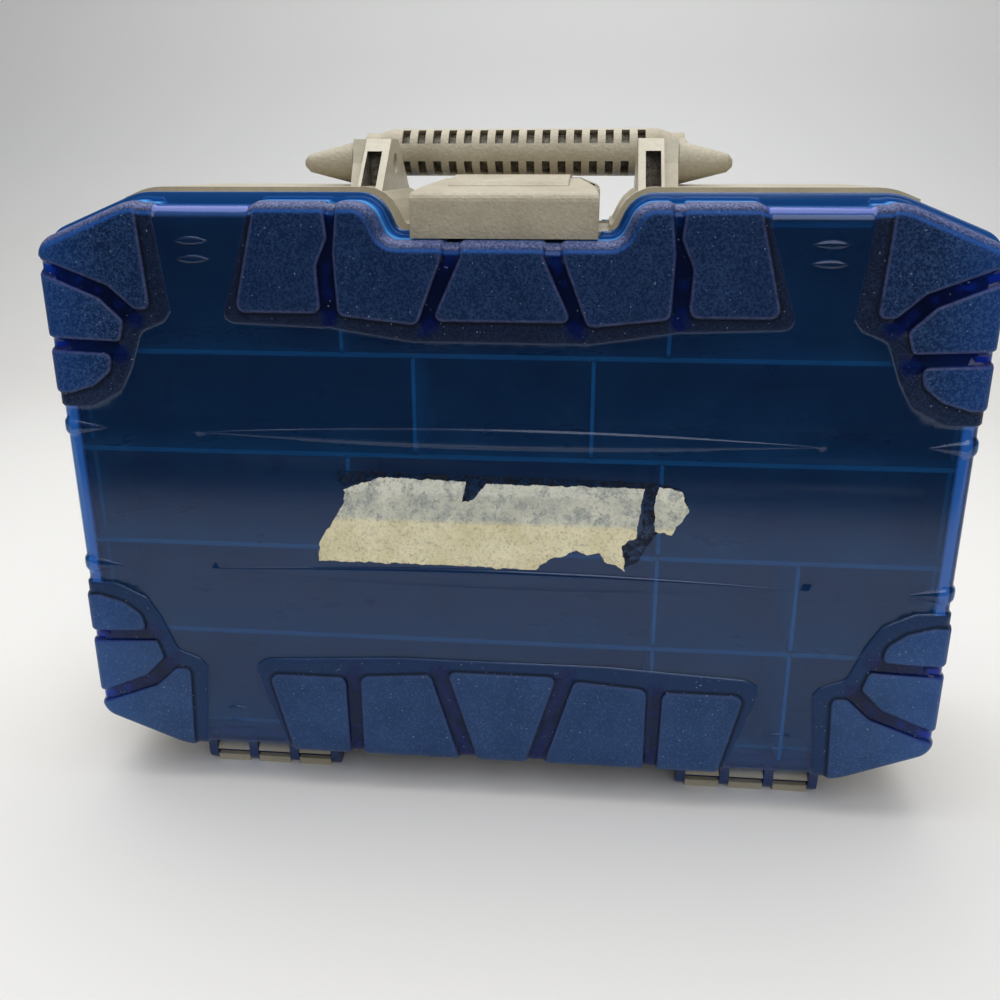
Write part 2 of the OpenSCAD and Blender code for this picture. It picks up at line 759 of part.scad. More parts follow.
// The grip, with a row of finger slots above and below its plain band, front and back
module handle_grip() {
    slot_from = asin(grip_band / 2 / grip_r);
    slot_to = acos(grip_spine / 2 / grip_r);
    slot_mid = (slot_from + slot_to) / 2;
    slot_span = 2 * grip_r * sin((slot_to - slot_from) / 2);
    color(beige) translate([0, grip_y, grip_z]) rotate([0, 90, 0]) difference() {
        rotate_extrude() polygon([
            [0, -hub_x], [end_r, -hub_x], [grip_r, grip_taper - hub_x],
            [grip_r, hub_x - grip_taper], [end_r, hub_x], [0, hub_x]
        ]);
        for (i = [0:grip_slots - 1]) for (side = [-1, 1]) for (face = [90, 270])
            translate([0, 0, (i - (grip_slots - 1) / 2) * grip_pitch])
                rotate([0, 0, face + side * slot_mid])
                    translate([grip_r - grip_slot_d, -slot_span / 2, -grip_slot_w / 2])
                        cube([grip_slot_d + 1, slot_span, grip_slot_w]);
    }
}

module right_handle_arm() { color(beige) handle_arm(); }
module left_handle_arm() { color(beige) on_right() handle_arm(); }
module right_pivot_cone() { color(beige) pivot_cone(); }
module left_pivot_cone() { color(beige) on_right() pivot_cone(); }

case_body();
mid_wall();
front_row_walls();
rear_row_walls();
front_dividers();
rear_dividers();
front_hinge_clips();
rear_hinge_clips();
left_tower();
right_tower();
latch_hinge_block();
front_latch_pin();
rear_latch_pin();
front_lid();
front_hinge_lugs();
rear_lid();
rear_hinge_lugs();
front_latch();
rear_latch();
handle_grip();
left_handle_arm();
right_handle_arm();
left_pivot_cone();
right_pivot_cone();
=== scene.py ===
"""Looks of an upright two-sided tackle case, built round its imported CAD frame. Lengths are mm until a mesh is made."""
import math

import bpy
import numpy as np
from bpy.props import FloatProperty, PointerProperty, StringProperty
from mathutils import Matrix, Vector
from mathutils.geometry import delaunay_2d_cdt


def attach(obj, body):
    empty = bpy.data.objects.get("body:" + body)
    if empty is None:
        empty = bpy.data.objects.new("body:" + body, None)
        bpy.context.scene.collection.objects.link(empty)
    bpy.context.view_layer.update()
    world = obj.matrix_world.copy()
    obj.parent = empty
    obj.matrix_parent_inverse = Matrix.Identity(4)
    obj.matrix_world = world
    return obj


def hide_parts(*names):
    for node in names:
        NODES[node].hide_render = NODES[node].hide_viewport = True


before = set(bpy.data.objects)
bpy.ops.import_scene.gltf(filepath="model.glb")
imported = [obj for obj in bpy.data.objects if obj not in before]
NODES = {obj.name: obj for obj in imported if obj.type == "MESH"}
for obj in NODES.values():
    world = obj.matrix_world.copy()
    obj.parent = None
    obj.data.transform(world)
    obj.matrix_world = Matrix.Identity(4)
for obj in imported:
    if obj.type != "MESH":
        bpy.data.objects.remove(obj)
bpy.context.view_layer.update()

bl_info = {
    "name": "Tackle Case Looks",
    "version": (1, 0, 0),
    "blender": (4, 5, 0),
    "location": "View3D > Sidebar > Tackle Case",
    "description": "Dresses the packed tackle case and lights it",
    "category": "Object",
}

MM = 0.001

# ---- Sizes shared with the CAD frame, in mm ------------------------------

HALF_W, HALF_H, HALF_D = 225.5, 147.0, 73.0
CENTRE_Z = 167.0
LID_D = 26.0
LID_WALL = 2.4
PAD_STEP = 2.2
BED_STEP = 1.2
BEAD_OUT, BEAD_W = 3.5, 4.0
LATCH_HALF = 43.7
NOTCH_HALF, NOTCH_RUN, NOTCH_DROP = 62.0, 8.0, 17.4
GRIP_Y, GRIP_Z, GRIP_R = 60.0, 336.0, 12.6
SLOTS_HALF, SLOT_DEPTH = 70.6, 2.4  # reach of the finger slots along the grip, and how deep they are dirty
TOWER_WINDOW = (65.6, 73.0)  # sides of the openings in the towers, from the middle of the case
TOWER_WINDOW_TOP = 336.0
TRAY_FRONT = 67.0
EDGE_X, EDGE_Z = HALF_W + 10, HALF_H + 10
BEND_X, CORNER_H = HALF_W - 47.5, HALF_H - 19.0
NOTCH_FOOT = NOTCH_HALF - NOTCH_RUN

# Vertices are [x, height above the middle of the case, fillet], anticlockwise from the lower left
CASE_OUTLINE = [
    (-BEND_X, -HALF_H, 30), (BEND_X, -HALF_H, 30), (HALF_W, -CORNER_H, 12), (HALF_W, CORNER_H, 12),
    (BEND_X, HALF_H, 30), (NOTCH_HALF, HALF_H, 12), (NOTCH_FOOT, HALF_H - NOTCH_DROP, 8.4),
    (-NOTCH_FOOT, HALF_H - NOTCH_DROP, 8.4), (-NOTCH_HALF, HALF_H, 12), (-BEND_X, HALF_H, 30),
    (-HALF_W, CORNER_H, 12), (-HALF_W, -CORNER_H, 12),
]
CORNER_PADS = [
    [(EDGE_X, -56, 1), (216, -55, 3), (203, -59, 6), (194, -66, 6), (192, -75, 3), (EDGE_X, -77, 1)],
    [(EDGE_X, -83, 1), (187, -81, 3), (184, -91, 3), (195, -102, 4), (EDGE_X, -119, 1)],
    [(EDGE_X, -125.5, 1), (190, -108, 6), (178, -97, 3), (170, -97, 3), (173, -EDGE_Z, 1), (EDGE_X, -EDGE_Z, 1)],
]
CORNER_BED = [
    (EDGE_X, -47, 1), (206, -48, 8), (190, -56, 8), (183, -68, 8), (176, -86, 5), (164, -91, 3),
    (160, -96, 3), (166, -EDGE_Z, 1), (EDGE_X, -EDGE_Z, 1),
]
LOWER_PADS = [
    [(22, -EDGE_Z, 1), (24, -141, 3), (38, -94, 4), (76, -97, 4), (76, -EDGE_Z, 1)],
    [(83, -EDGE_Z, 1), (84, -98, 4), (126, -98, 4), (112, -EDGE_Z, 1)],
]
LOWER_MIDDLE_PAD = [(9, -EDGE_Z, 1), (29, -92, 3), (-29, -92, 3), (-9, -EDGE_Z, 1)]
LOWER_BED = [
    (114, -EDGE_Z, 1), (135, -93, 6), (126, -89, 8), (54, -85, 30), (-54, -85, 30), (-126, -89, 8),
    (-135, -93, 6), (-114, -EDGE_Z, 1),
]
UPPER_PADS = [
    [(112, EDGE_Z, 1), (84, EDGE_Z, 1), (81, 131, 5), (87, 118, 8), (86, 96, 4), (128, 96, 4)],
    [(75, EDGE_Z, 1), (28, EDGE_Z, 1), (28, 122, 1), (40, 91, 4), (78, 95, 4), (79, 124, 8)],
]
UPPER_MIDDLE_PAD = [(-19, EDGE_Z, 1), (-19, 123, 1), (-33, 93, 3), (33, 93, 3), (19, 123, 1), (19, EDGE_Z, 1)]
UPPER_BED = [
    (-114, EDGE_Z, 1), (-136, 91, 5), (-82, 89, 12), (-42, 83, 12), (42, 83, 12), (82, 89, 12),
    (136, 91, 5), (114, EDGE_Z, 1),
]
# Raised lenses on the window, as [x, z, length, height, rise]
RIBS = [(0, 36, 310, 10, 0.7), (0, -38, 307, 10, 0.7)] + [
    (side * x, z, length, height, rise) for side in (-1, 1) for x, z, length, height, rise in (
        (HALF_W, 37, 51, 8.5, 1.4), (HALF_W, -38, 51, 8.5, 1.4), (147, 129, 17, 4.6, 1.2), (147, 120.5, 17, 4.6, 1.2),
        (146, -120.5, 12, 3.4, 1.2), (146, -129, 12, 3.4, 1.2))
]


# ---- Plane geometry ------------------------------

def unit(v):
    return v / np.linalg.norm(v)


def left_of(v):
    return np.array([-v[1], v[0]])


def fillet_arc(before, here, after, inset, steps):
    """The arc that rounds one vertex of an outline moved in by inset."""
    p, q, n = (np.array(v[:2], float) for v in (before, here, after))
    u, v = unit(q - p), unit(n - q)
    side = 1 if u[0] * v[1] - u[1] * v[0] > 0 else -1
    turn = math.acos(max(-1.0, min(1.0, float(u @ v))))
    r = max(here[2] - side * inset, 0.3)
    corner = q + inset * (left_of(u) + left_of(v)) / (1 + u @ v)
    centre = corner - u * r * math.tan(turn / 2) + side * left_of(u) * r
    spoke = side * left_of(u) * r
    angles = side * turn * np.arange(steps + 1) / steps
    return np.array([centre - np.array([spoke[0] * math.cos(a) - spoke[1] * math.sin(a),
                                        spoke[0] * math.sin(a) + spoke[1] * math.cos(a)]) for a in angles])


def inset_outline(outline, inset, steps=5):
    """The points of an outline moved in by inset, its fillets as arcs."""
    n = len(outline)
    return np.vstack([fillet_arc(outline[i - 1], outline[i], outline[(i + 1) % n], inset, steps) for i in range(n)])


def ring_basis(outline, spacing, steps):
    """Evenly spaced points of an outline, and how far each moves for 1 mm of inset."""
    n = len(outline)
    arcs = [[fillet_arc(outline[i - 1], outline[i], outline[(i + 1) % n], inset, steps) for i in range(n)]
            for inset in (0.0, 1.0)]
    rows = [[], []]
    for i in range(n):
        straight = np.linalg.norm(arcs[0][(i + 1) % n][0] - arcs[0][i][-1])
        cuts = max(1, math.ceil(straight / spacing))
        for k in (0, 1):
            a, b = arcs[k][i][-1], arcs[k][(i + 1) % n][0]
            rows[k].append(arcs[k][i])
            rows[k].append(np.array([a + (b - a) * t / cuts for t in range(1, cuts)]).reshape(-1, 2))
    at_0, at_1 = np.vstack(rows[0]), np.vstack(rows[1])
    return at_0, at_1 - at_0


def inside_distance(points, polygon):
    """Distance from each point to a polygon's edge, positive inside it."""
    best = np.full(len(points), 1e12)
    inside = np.zeros(len(points), bool)
    x, z = points[:, 0], points[:, 1]
    for (ax, az), (bx, bz) in zip(polygon, np.roll(polygon, -1, 0)):
        ex, ez = bx - ax, bz - az
        length = ex * ex + ez * ez
        if length < 1e-12:
            continue
        t = np.clip(((x - ax) * ex + (z - az) * ez) / length, 0, 1)
        best = np.minimum(best, (x - ax - ex * t) ** 2 + (z - az - ez * t) ** 2)
        if abs(ez) > 1e-12:
            inside ^= ((az > z) != (bz > z)) & (x < ex * (z - az) / ez + ax)
    return np.where(inside, 1.0, -1.0) * np.sqrt(best)


def mirrored(outline, x=1, z=1):
    return [(x * p[0], z * p[1], p[2]) for p in outline]


def anticlockwise(outline):
    area = sum(a[0] * b[1] - b[0] * a[1] for a, b in zip(outline, outline[1:] + outline[:1]))
    return outline if area > 0 else outline[::-1]


def four_corners(outline):
    return [mirrored(outline, x, z) for x in (-1, 1) for z in (-1, 1)]


def both_sides(outline):
    return [outline, mirrored(outline, -1)]


PADS = [anticlockwise(o) for pad in CORNER_PADS for o in four_corners(pad)]
PADS += [anticlockwise(o) for pad in LOWER_PADS + UPPER_PADS for o in both_sides(pad)]
PADS += [anticlockwise(LOWER_MIDDLE_PAD), anticlockwise(UPPER_MIDDLE_PAD)]
BEDS = [anticlockwise(o) for o in four_corners(CORNER_BED)] + [anticlockwise(LOWER_BED), anticlockwise(UPPER_BED)]


def smooth(t):
    t = np.clip(t, 0, 1)
    return t * t * (3 - 2 * t)


def shoulder(t):
    """A quarter round: steep at its foot and level at its top."""
    t = np.clip(t, 0, 1)
    return np.sqrt(1 - (1 - t) ** 2)


# ---- Lid ------------------------------

RIM = 9.0  # inset at which the flat front meets the rolled edge
ROLL_IN, ROLL_BACK = 6.0, 8.5  # how far the rolled edge reaches inwards, and back
ROLL_STEPS = 10
FOOT, ROLL = 0.4, 1.9  # the pads' rounded edge starts this far outside their outline, and is this wide
GROOVE_DROP = 0.9
MARKS = ("pad", "bed", "pad_inside", "groove", "roll", "up")


def armour(points):
    """Height share of the pads and the beds at each point, distance inside the nearest pad, and share of a groove."""
    to_pads = np.sort([inside_distance(points, inset_outline(o, 0)) for o in PADS], axis=0)
    pad = to_pads[-1]
    bed = np.max([inside_distance(points, inset_outline(o, 0)) for o in BEDS], axis=0)
    pad_share = shoulder((pad + FOOT) / ROLL)
    bed_share = smooth((bed + 0.5) / 1.8)
    bed_share = np.where(pad > -2.0, np.maximum(bed_share, 0.98), bed_share)
    groove = smooth((to_pads[-2] + 10.5) / 2.5) * (1 - pad_share)
    return pad_share, bed_share, pad, groove


def rib_height(points):
    """How far the lenses on the window stand out at each point."""
    out = np.zeros(len(points))
    for x, z, length, height, rise in RIBS:
        r = (length * length / 4 + height * height / 4) / height
        dx = points[:, 0] - x
        half = np.sqrt(np.maximum(r * r - dx * dx, 0)) - (r - height / 2)
        v = np.abs(points[:, 1] - z) / np.maximum(half, 1e-6)
        share = np.sqrt(np.clip(half / (height / 2), 0, 1))
        crown = 8 if length > 100 else 4  # the long ribs have flatter tops and steeper flanks
        out = np.maximum(out, np.where((half > 0) & (v < 1), rise * share * (1 - v ** crown), 0))
    return out


def flat_points():
    """Points and edges that the flat front is triangulated through, so that every edge of a pad has its own lines."""
    base, step = ring_basis(CASE_OUTLINE, 1.15, 8)
    ring = base + RIM * step
    keep_in = inset_outline(CASE_OUTLINE, RIM, 8)
    points, edges = list(ring), [(i, (i + 1) % len(ring)) for i in range(len(ring))]

    def add_line(line, closed=True):
        line = np.asarray(line)
        if closed:
            line = np.vstack([line, line[:1]])
        fine = [line[0]]
        for a, b in zip(line, line[1:]):
            cuts = max(1, math.ceil(np.linalg.norm(b - a) / 2.4))
            fine += [a + (b - a) * k / cuts for k in range(1, cuts + 1)]
        fine = np.array(fine)
        good = inside_distance(fine, keep_in) > 0.5
        last = None
        for p, ok in zip(fine, good):
            if not ok:
                last = None
                continue
            points.append(p)
            if last is not None:
                edges.append((last, len(points) - 1))
            last = len(points) - 1

    for pad in PADS:
        for inset in (-FOOT, -0.15, 0.2, 0.8, ROLL - FOOT):
            add_line(inset_outline(pad, inset, 4))
    for bed in BEDS:
        for inset in (-0.5, -0.1, 0.4, 0.9, 1.3):
            add_line(inset_outline(bed, inset, 4))
    for x, z, length, height, rise in RIBS:
        r = (length * length / 4 + height * height / 4) / height
        xs = np.linspace(-length / 2, length / 2, 49 if length > 40 else 15)
        half = np.maximum(np.sqrt(r * r - xs * xs) - (r - height / 2), 0)
        for share in (-1.12, -1, -0.95, -0.87, -0.76, -0.62, 0, 0.62, 0.76, 0.87, 0.95, 1, 1.12):
            add_line(np.column_stack([x + xs, z + half * share]), closed=False)
    pitch = 6.0
    xs, zs = np.meshgrid(np.arange(-HALF_W, HALF_W, pitch), np.arange(-HALF_H, HALF_H, pitch))
    grid = np.column_stack([xs.ravel() + np.where(np.arange(xs.size) // xs.shape[1] % 2, pitch / 2, 0), zs.ravel()])
    clear = inside_distance(grid, keep_in) > 2.0
    known = np.array(points)
    for p in grid[clear]:
        if np.min(np.abs(known - p).sum(1)) > 2.2:
            points.append(p)
    return np.array(points), edges, len(ring), base, step


def lid_mesh(name):
    """The front lid: its flat front with pads, grooves and ribs, then ring by ring over the rolled edge, down the side
    wall and round the bead to the inner skin. Each point is marked with what the material needs to know of it."""
    points, edges, ring_count, base, step = flat_points()
    made = delaunay_2d_cdt([Vector(p) for p in points], edges, [list(range(ring_count))], 1, 1e-5)
    flat, faces, origins = np.array([tuple(v) for v in made[0]]), made[2], made[3]
    at = {}
    for out, ins in enumerate(origins):
        for i in ins:
            at[i] = out
    rim = np.array([at[i] for i in range(ring_count)])
    pad_share, bed_share, pad, groove = armour(flat)
    depth = PAD_STEP + (BED_STEP - PAD_STEP) * bed_share + GROOVE_DROP * groove
    depth = depth * (1 - pad_share) - rib_height(flat) * (1 - pad_share) * (bed_share < 0.3)
    xyz = [np.column_stack([flat[:, 0], depth - HALF_D, flat[:, 1]])]
    nothing = np.zeros(len(flat))
    marks = [np.column_stack([pad_share, bed_share, pad, groove, nothing, nothing])]
    face_list = []
    for f in faces:
        a, b, c = (flat[i] for i in f[:3])
        turn = (b[0] - a[0]) * (c[1] - a[1]) - (b[1] - a[1]) * (c[0] - a[0])
        if abs(turn) > 1e-9:
            face_list.append(tuple(f) if turn > 0 else tuple(reversed(f)))
    # Rolled edge, side wall, bead and inner skin, ring by ring
    outline = base
    ahead, behind = np.roll(outline, -1, 0), np.roll(outline, 1, 0)
    along = ahead - behind
    up = -along[:, 0] / np.linalg.norm(along, axis=1)
    # Depth at the front and inset at the side of the window, the beds and the pads
    levels = np.array([[PAD_STEP, 2.1], [BED_STEP, 1.05], [0.0, 0.0]])
    rings = [(ROLL_IN * (1 - math.sin(angle)), ROLL_BACK * (1 - math.cos(angle)), 0.0)
             for angle in np.radians(np.linspace(0, 90, ROLL_STEPS + 1))]
    rings += [(0.0, ROLL_BACK, share) for share in (0.25, 0.5, 0.75, 1.0)]
    mask_at = [armour(outline + (r[0] + 0.8) * step) for r in rings[:8:2]]
    previous = rim
    count = len(outline)
    total = len(flat)
    bead_start = LID_D - BEAD_W
    under_latch = (np.abs(outline[:, 0]) < LATCH_HALF + 1) & (outline[:, 1] > HALF_H - 25)

    def add_ring(inset, depth_here, shares, roll):
        nonlocal previous, total
        xz = outline + inset[:, None] * step
        xyz.append(np.column_stack([xz[:, 0], depth_here - HALF_D, xz[:, 1]]))
        marks.append(np.column_stack([*shares, np.full(count, roll), up]))
        here = np.arange(total, total + count)
        after = np.roll(np.arange(count), -1)
        face_list.extend(zip(previous, here, here[after], previous[after]))
        previous, total = here, total + count

    for k, (inset, back, share) in enumerate(rings):
        m_pad, m_bed, d_pad, m_groove = mask_at[min(k // 2, 3)]
        side = levels[0, 1] + (levels[1, 1] - levels[0, 1]) * m_bed
        side = side + (levels[2, 1] - side) * m_pad
        front = levels[0, 0] + (levels[1, 0] - levels[0, 0]) * m_bed
        front = front + (levels[2, 0] - front) * m_pad
        front = front + GROOVE_DROP * m_groove
        d = front + back * (1 - front / 12)
        d = d + share * (bead_start - d)
        rib = rib_height(outline) * (1 - m_bed) * (1 - share)
        turned = min(k / ROLL_STEPS, 1)
        lean = turned * math.pi / 2
        add_ring(side + inset - rib * math.sin(lean), d - rib * math.cos(lean), (m_pad, m_bed, d_pad, m_groove),
                 turned + share)
    flat_side = [np.zeros(count), np.zeros(count), np.full(count, -9.0), np.zeros(count)]
    bead = np.where(under_latch, 0.0, -BEAD_OUT)
    full = np.ones(count)
    add_ring(np.where(under_latch, 0.4, bead + 0.8), bead_start * full, flat_side, 2.2)
    add_ring(np.where(under_latch, 0.1, bead + 0.2), (bead_start + 0.2) * full, flat_side, 2.2)
    add_ring(bead, (bead_start + 0.8) * full, flat_side, 2.2)
    add_ring(bead, (LID_D - 0.6) * full, flat_side, 2.2)
    add_ring(bead + 0.5, LID_D * full, flat_side, 2.2)
    inner_from = len(face_list)
    wall = 2.0 + LID_WALL
    for inset, d in ((wall, LID_D), (wall, 18.0), (wall, 10.0), (wall + 1.4, 7.4), (wall + 3.4, 5.4),
                     (10.8, PAD_STEP + LID_WALL)):
        add_ring(inset * full, d * full, flat_side, 2.2)
    face_list.append(tuple(int(i) for i in previous))
    xyz, marks = np.vstack(xyz), np.vstack(marks)
    xyz[:, 2] += CENTRE_Z
    mesh = bpy.data.meshes.new(name)
    mesh.from_pydata([tuple(p) for p in xyz * MM], [], [tuple(int(i) for i in f) for f in face_list])
    for k, label in enumerate(MARKS):
        mesh.attributes.new(label, "FLOAT", "POINT").data.foreach_set("value", marks[:, k].astype(np.float32))
    inner = np.zeros(len(mesh.polygons), np.int32)
    inner[inner_from:] = 1
    mesh.polygons.foreach_set("material_index", inner)
    mesh.polygons.foreach_set("use_smooth", np.ones(len(mesh.polygons), bool))
    mesh.update()
    mesh.set_sharp_from_angle(angle=math.radians(50))
    return mesh


# ---- Materials ------------------------------

POLYCARBONATE, POLYPROPYLENE = 1.58, 1.49  # indices of refraction
WINDOW_LOW, WINDOW_HIGH = (70, 90), (244, 264)  # heights over which the window starts and ends at the lid's sides


def linear(hex_colour):
    """An sRGB hex colour as the linear RGBA that the shaders take."""
    out = []
    for i in (1, 3, 5):
        c = int(hex_colour[i:i + 2], 16) / 255
        out.append(c / 12.92 if c <= 0.04045 else ((c + 0.055) / 1.055) ** 2.4)
    return (*out, 1.0)


def add_node(tree, kind, settings=None, **inputs):
    """Adds a node. Settings are its own properties; inputs are values or other nodes' sockets, by name or _index."""
    made = tree.nodes.new(kind)
    for key, value in (settings or {}).items():
        setattr(made, key, value)
    for key, value in inputs.items():
        socket = made.inputs[int(key[1:])] if key[0] == "_" else made.inputs[key.replace("_", " ")]
        if isinstance(value, bpy.types.NodeSocket):
            tree.links.new(value, socket)
        else:
            socket.default_value = value
    return made


def new_material(name):
    material = bpy.data.materials.new(name)
    material.use_nodes = True
    material.node_tree.nodes.clear()
    return material, material.node_tree


def object_point(tree):
    return add_node(tree, "ShaderNodeTexCoord").outputs["Object"]


def noise(tree, size_mm, detail=3.0, roughness=0.55, vector=None, seed=0.0):
    """Noise whose grains are about size_mm across, from 0 to 1."""
    return add_node(tree, "ShaderNodeTexNoise", {"noise_dimensions": "4D"}, Vector=vector or object_point(tree), W=seed,
                    Scale=1 / (size_mm * MM), Detail=detail, Roughness=roughness).outputs["Fac"]


def stretched_noise(tree, detail, seed, **mapping):
    """Noise drawn out along an axis: Scale says how many grains there are in a metre each way."""
    at = add_node(tree, "ShaderNodeMapping", Vector=object_point(tree), **mapping).outputs[0]
    return noise(tree, 1000, detail, 0.5, vector=at, seed=seed)


def ramp(tree, value, low, high, out_low=0.0, out_high=1.0):
    """Brings a value between low and high to between out_low and out_high, and holds it at these beyond."""
    return add_node(tree, "ShaderNodeMapRange", _0=value, _1=low, _2=high, _3=out_low, _4=out_high).outputs[0]


def blend(tree, share, a, b):
    """Colour a where share is 0, b where it is 1."""
    return add_node(tree, "ShaderNodeMix", {"data_type": "RGBA"}, _0=share, _6=a, _7=b).outputs[2]


def maths(tree, operation, a, b=0.0):
    return add_node(tree, "ShaderNodeMath", {"operation": operation, "use_clamp": False}, _0=a, _1=b).outputs[0]


def mesh_value(tree, label):
    return add_node(tree, "ShaderNodeAttribute", {"attribute_name": label}).outputs["Fac"]


def beige_plastic(name, colour, grain_mm, grain_depth, grime, roughness, dirt_in=None, painted_light_in=None):
    """Injection moulded polypropylene. A spark-eroded mould gives it a pebble grain that breaks up the shine; handling
    leaves a faint brown film in the hollows and on the faces that hands touch. dirt_in is a function that says where
    black dirt has caked; the last argument is one that says where light is painted on as a paler tone."""
    material, tree = new_material(name)
    cloud = noise(tree, 38, 4, 0.6)
    fine = noise(tree, 2.4, 3, 0.6, seed=3.0)
    film = maths(tree, "MULTIPLY", ramp(tree, cloud, 0.42, 0.72), grime)
    tone = blend(tree, film, linear(colour), linear("#85765c"))
    tone = blend(tree, ramp(tree, fine, 0.30, 0.75, 0.0, 0.22), tone, linear("#6e6450"))
    specks = ramp(tree, noise(tree, 1.6, 1, 0.4, seed=9.0), 0.74, 0.80, 0.0, 0.5 * grime)
    tone = blend(tree, specks, tone, linear("#4a3b2a"))
    # Painted light: a paler tone where light falls most, such as the front edges of the tray's walls
    if painted_light_in:
        tone = blend(tree, painted_light_in(tree), tone, linear("#aaa392"))
    if dirt_in:
        caked = ramp(tree, noise(tree, 2.2, 4, 0.7, seed=12.0), 0.38, 0.62, 0.45, 0.95)
        tone = blend(tree, maths(tree, "MULTIPLY", dirt_in(tree), caked), tone, linear("#1c140e"))
    grain = noise(tree, grain_mm, 2, 0.5, seed=5.0)
    bump = add_node(tree, "ShaderNodeBump", Strength=0.9, Distance=grain_depth * MM, Height=grain)
    shader = add_node(tree, "ShaderNodeBsdfPrincipled", Base_Color=tone,
                      Roughness=ramp(tree, cloud, 0.3, 0.7, roughness - 0.06, roughness + 0.08),
                      Normal=bump.outputs[0], IOR=POLYPROPYLENE)
    add_node(tree, "ShaderNodeOutputMaterial", Surface=shader.outputs[0])
    return material


def polished_face(tree, tint, rough, straight_on=0.045):
    """A clear, polished face: it mirrors a twentieth of the light straight on and more at a glancing view, and lets the
    rest through, tinted. Part of what it mirrors comes back through the blue sheet, so that light is faintly blue."""
    facing = add_node(tree, "ShaderNodeLayerWeight", Blend=0.5).outputs["Facing"]
    mirrored_share = ramp(tree, maths(tree, "POWER", facing, 5.0), 0.0, 1.0, straight_on, 1.0)
    clear = add_node(tree, "ShaderNodeBsdfTransparent", Color=linear(tint))
    gloss = add_node(tree, "ShaderNodeBsdfGlossy", Color=linear("#dbe6ff"), Roughness=rough)
    return add_node(tree, "ShaderNodeMixShader", _0=mirrored_share, _1=clear.outputs[0], _2=gloss.outputs[0]).outputs[0]


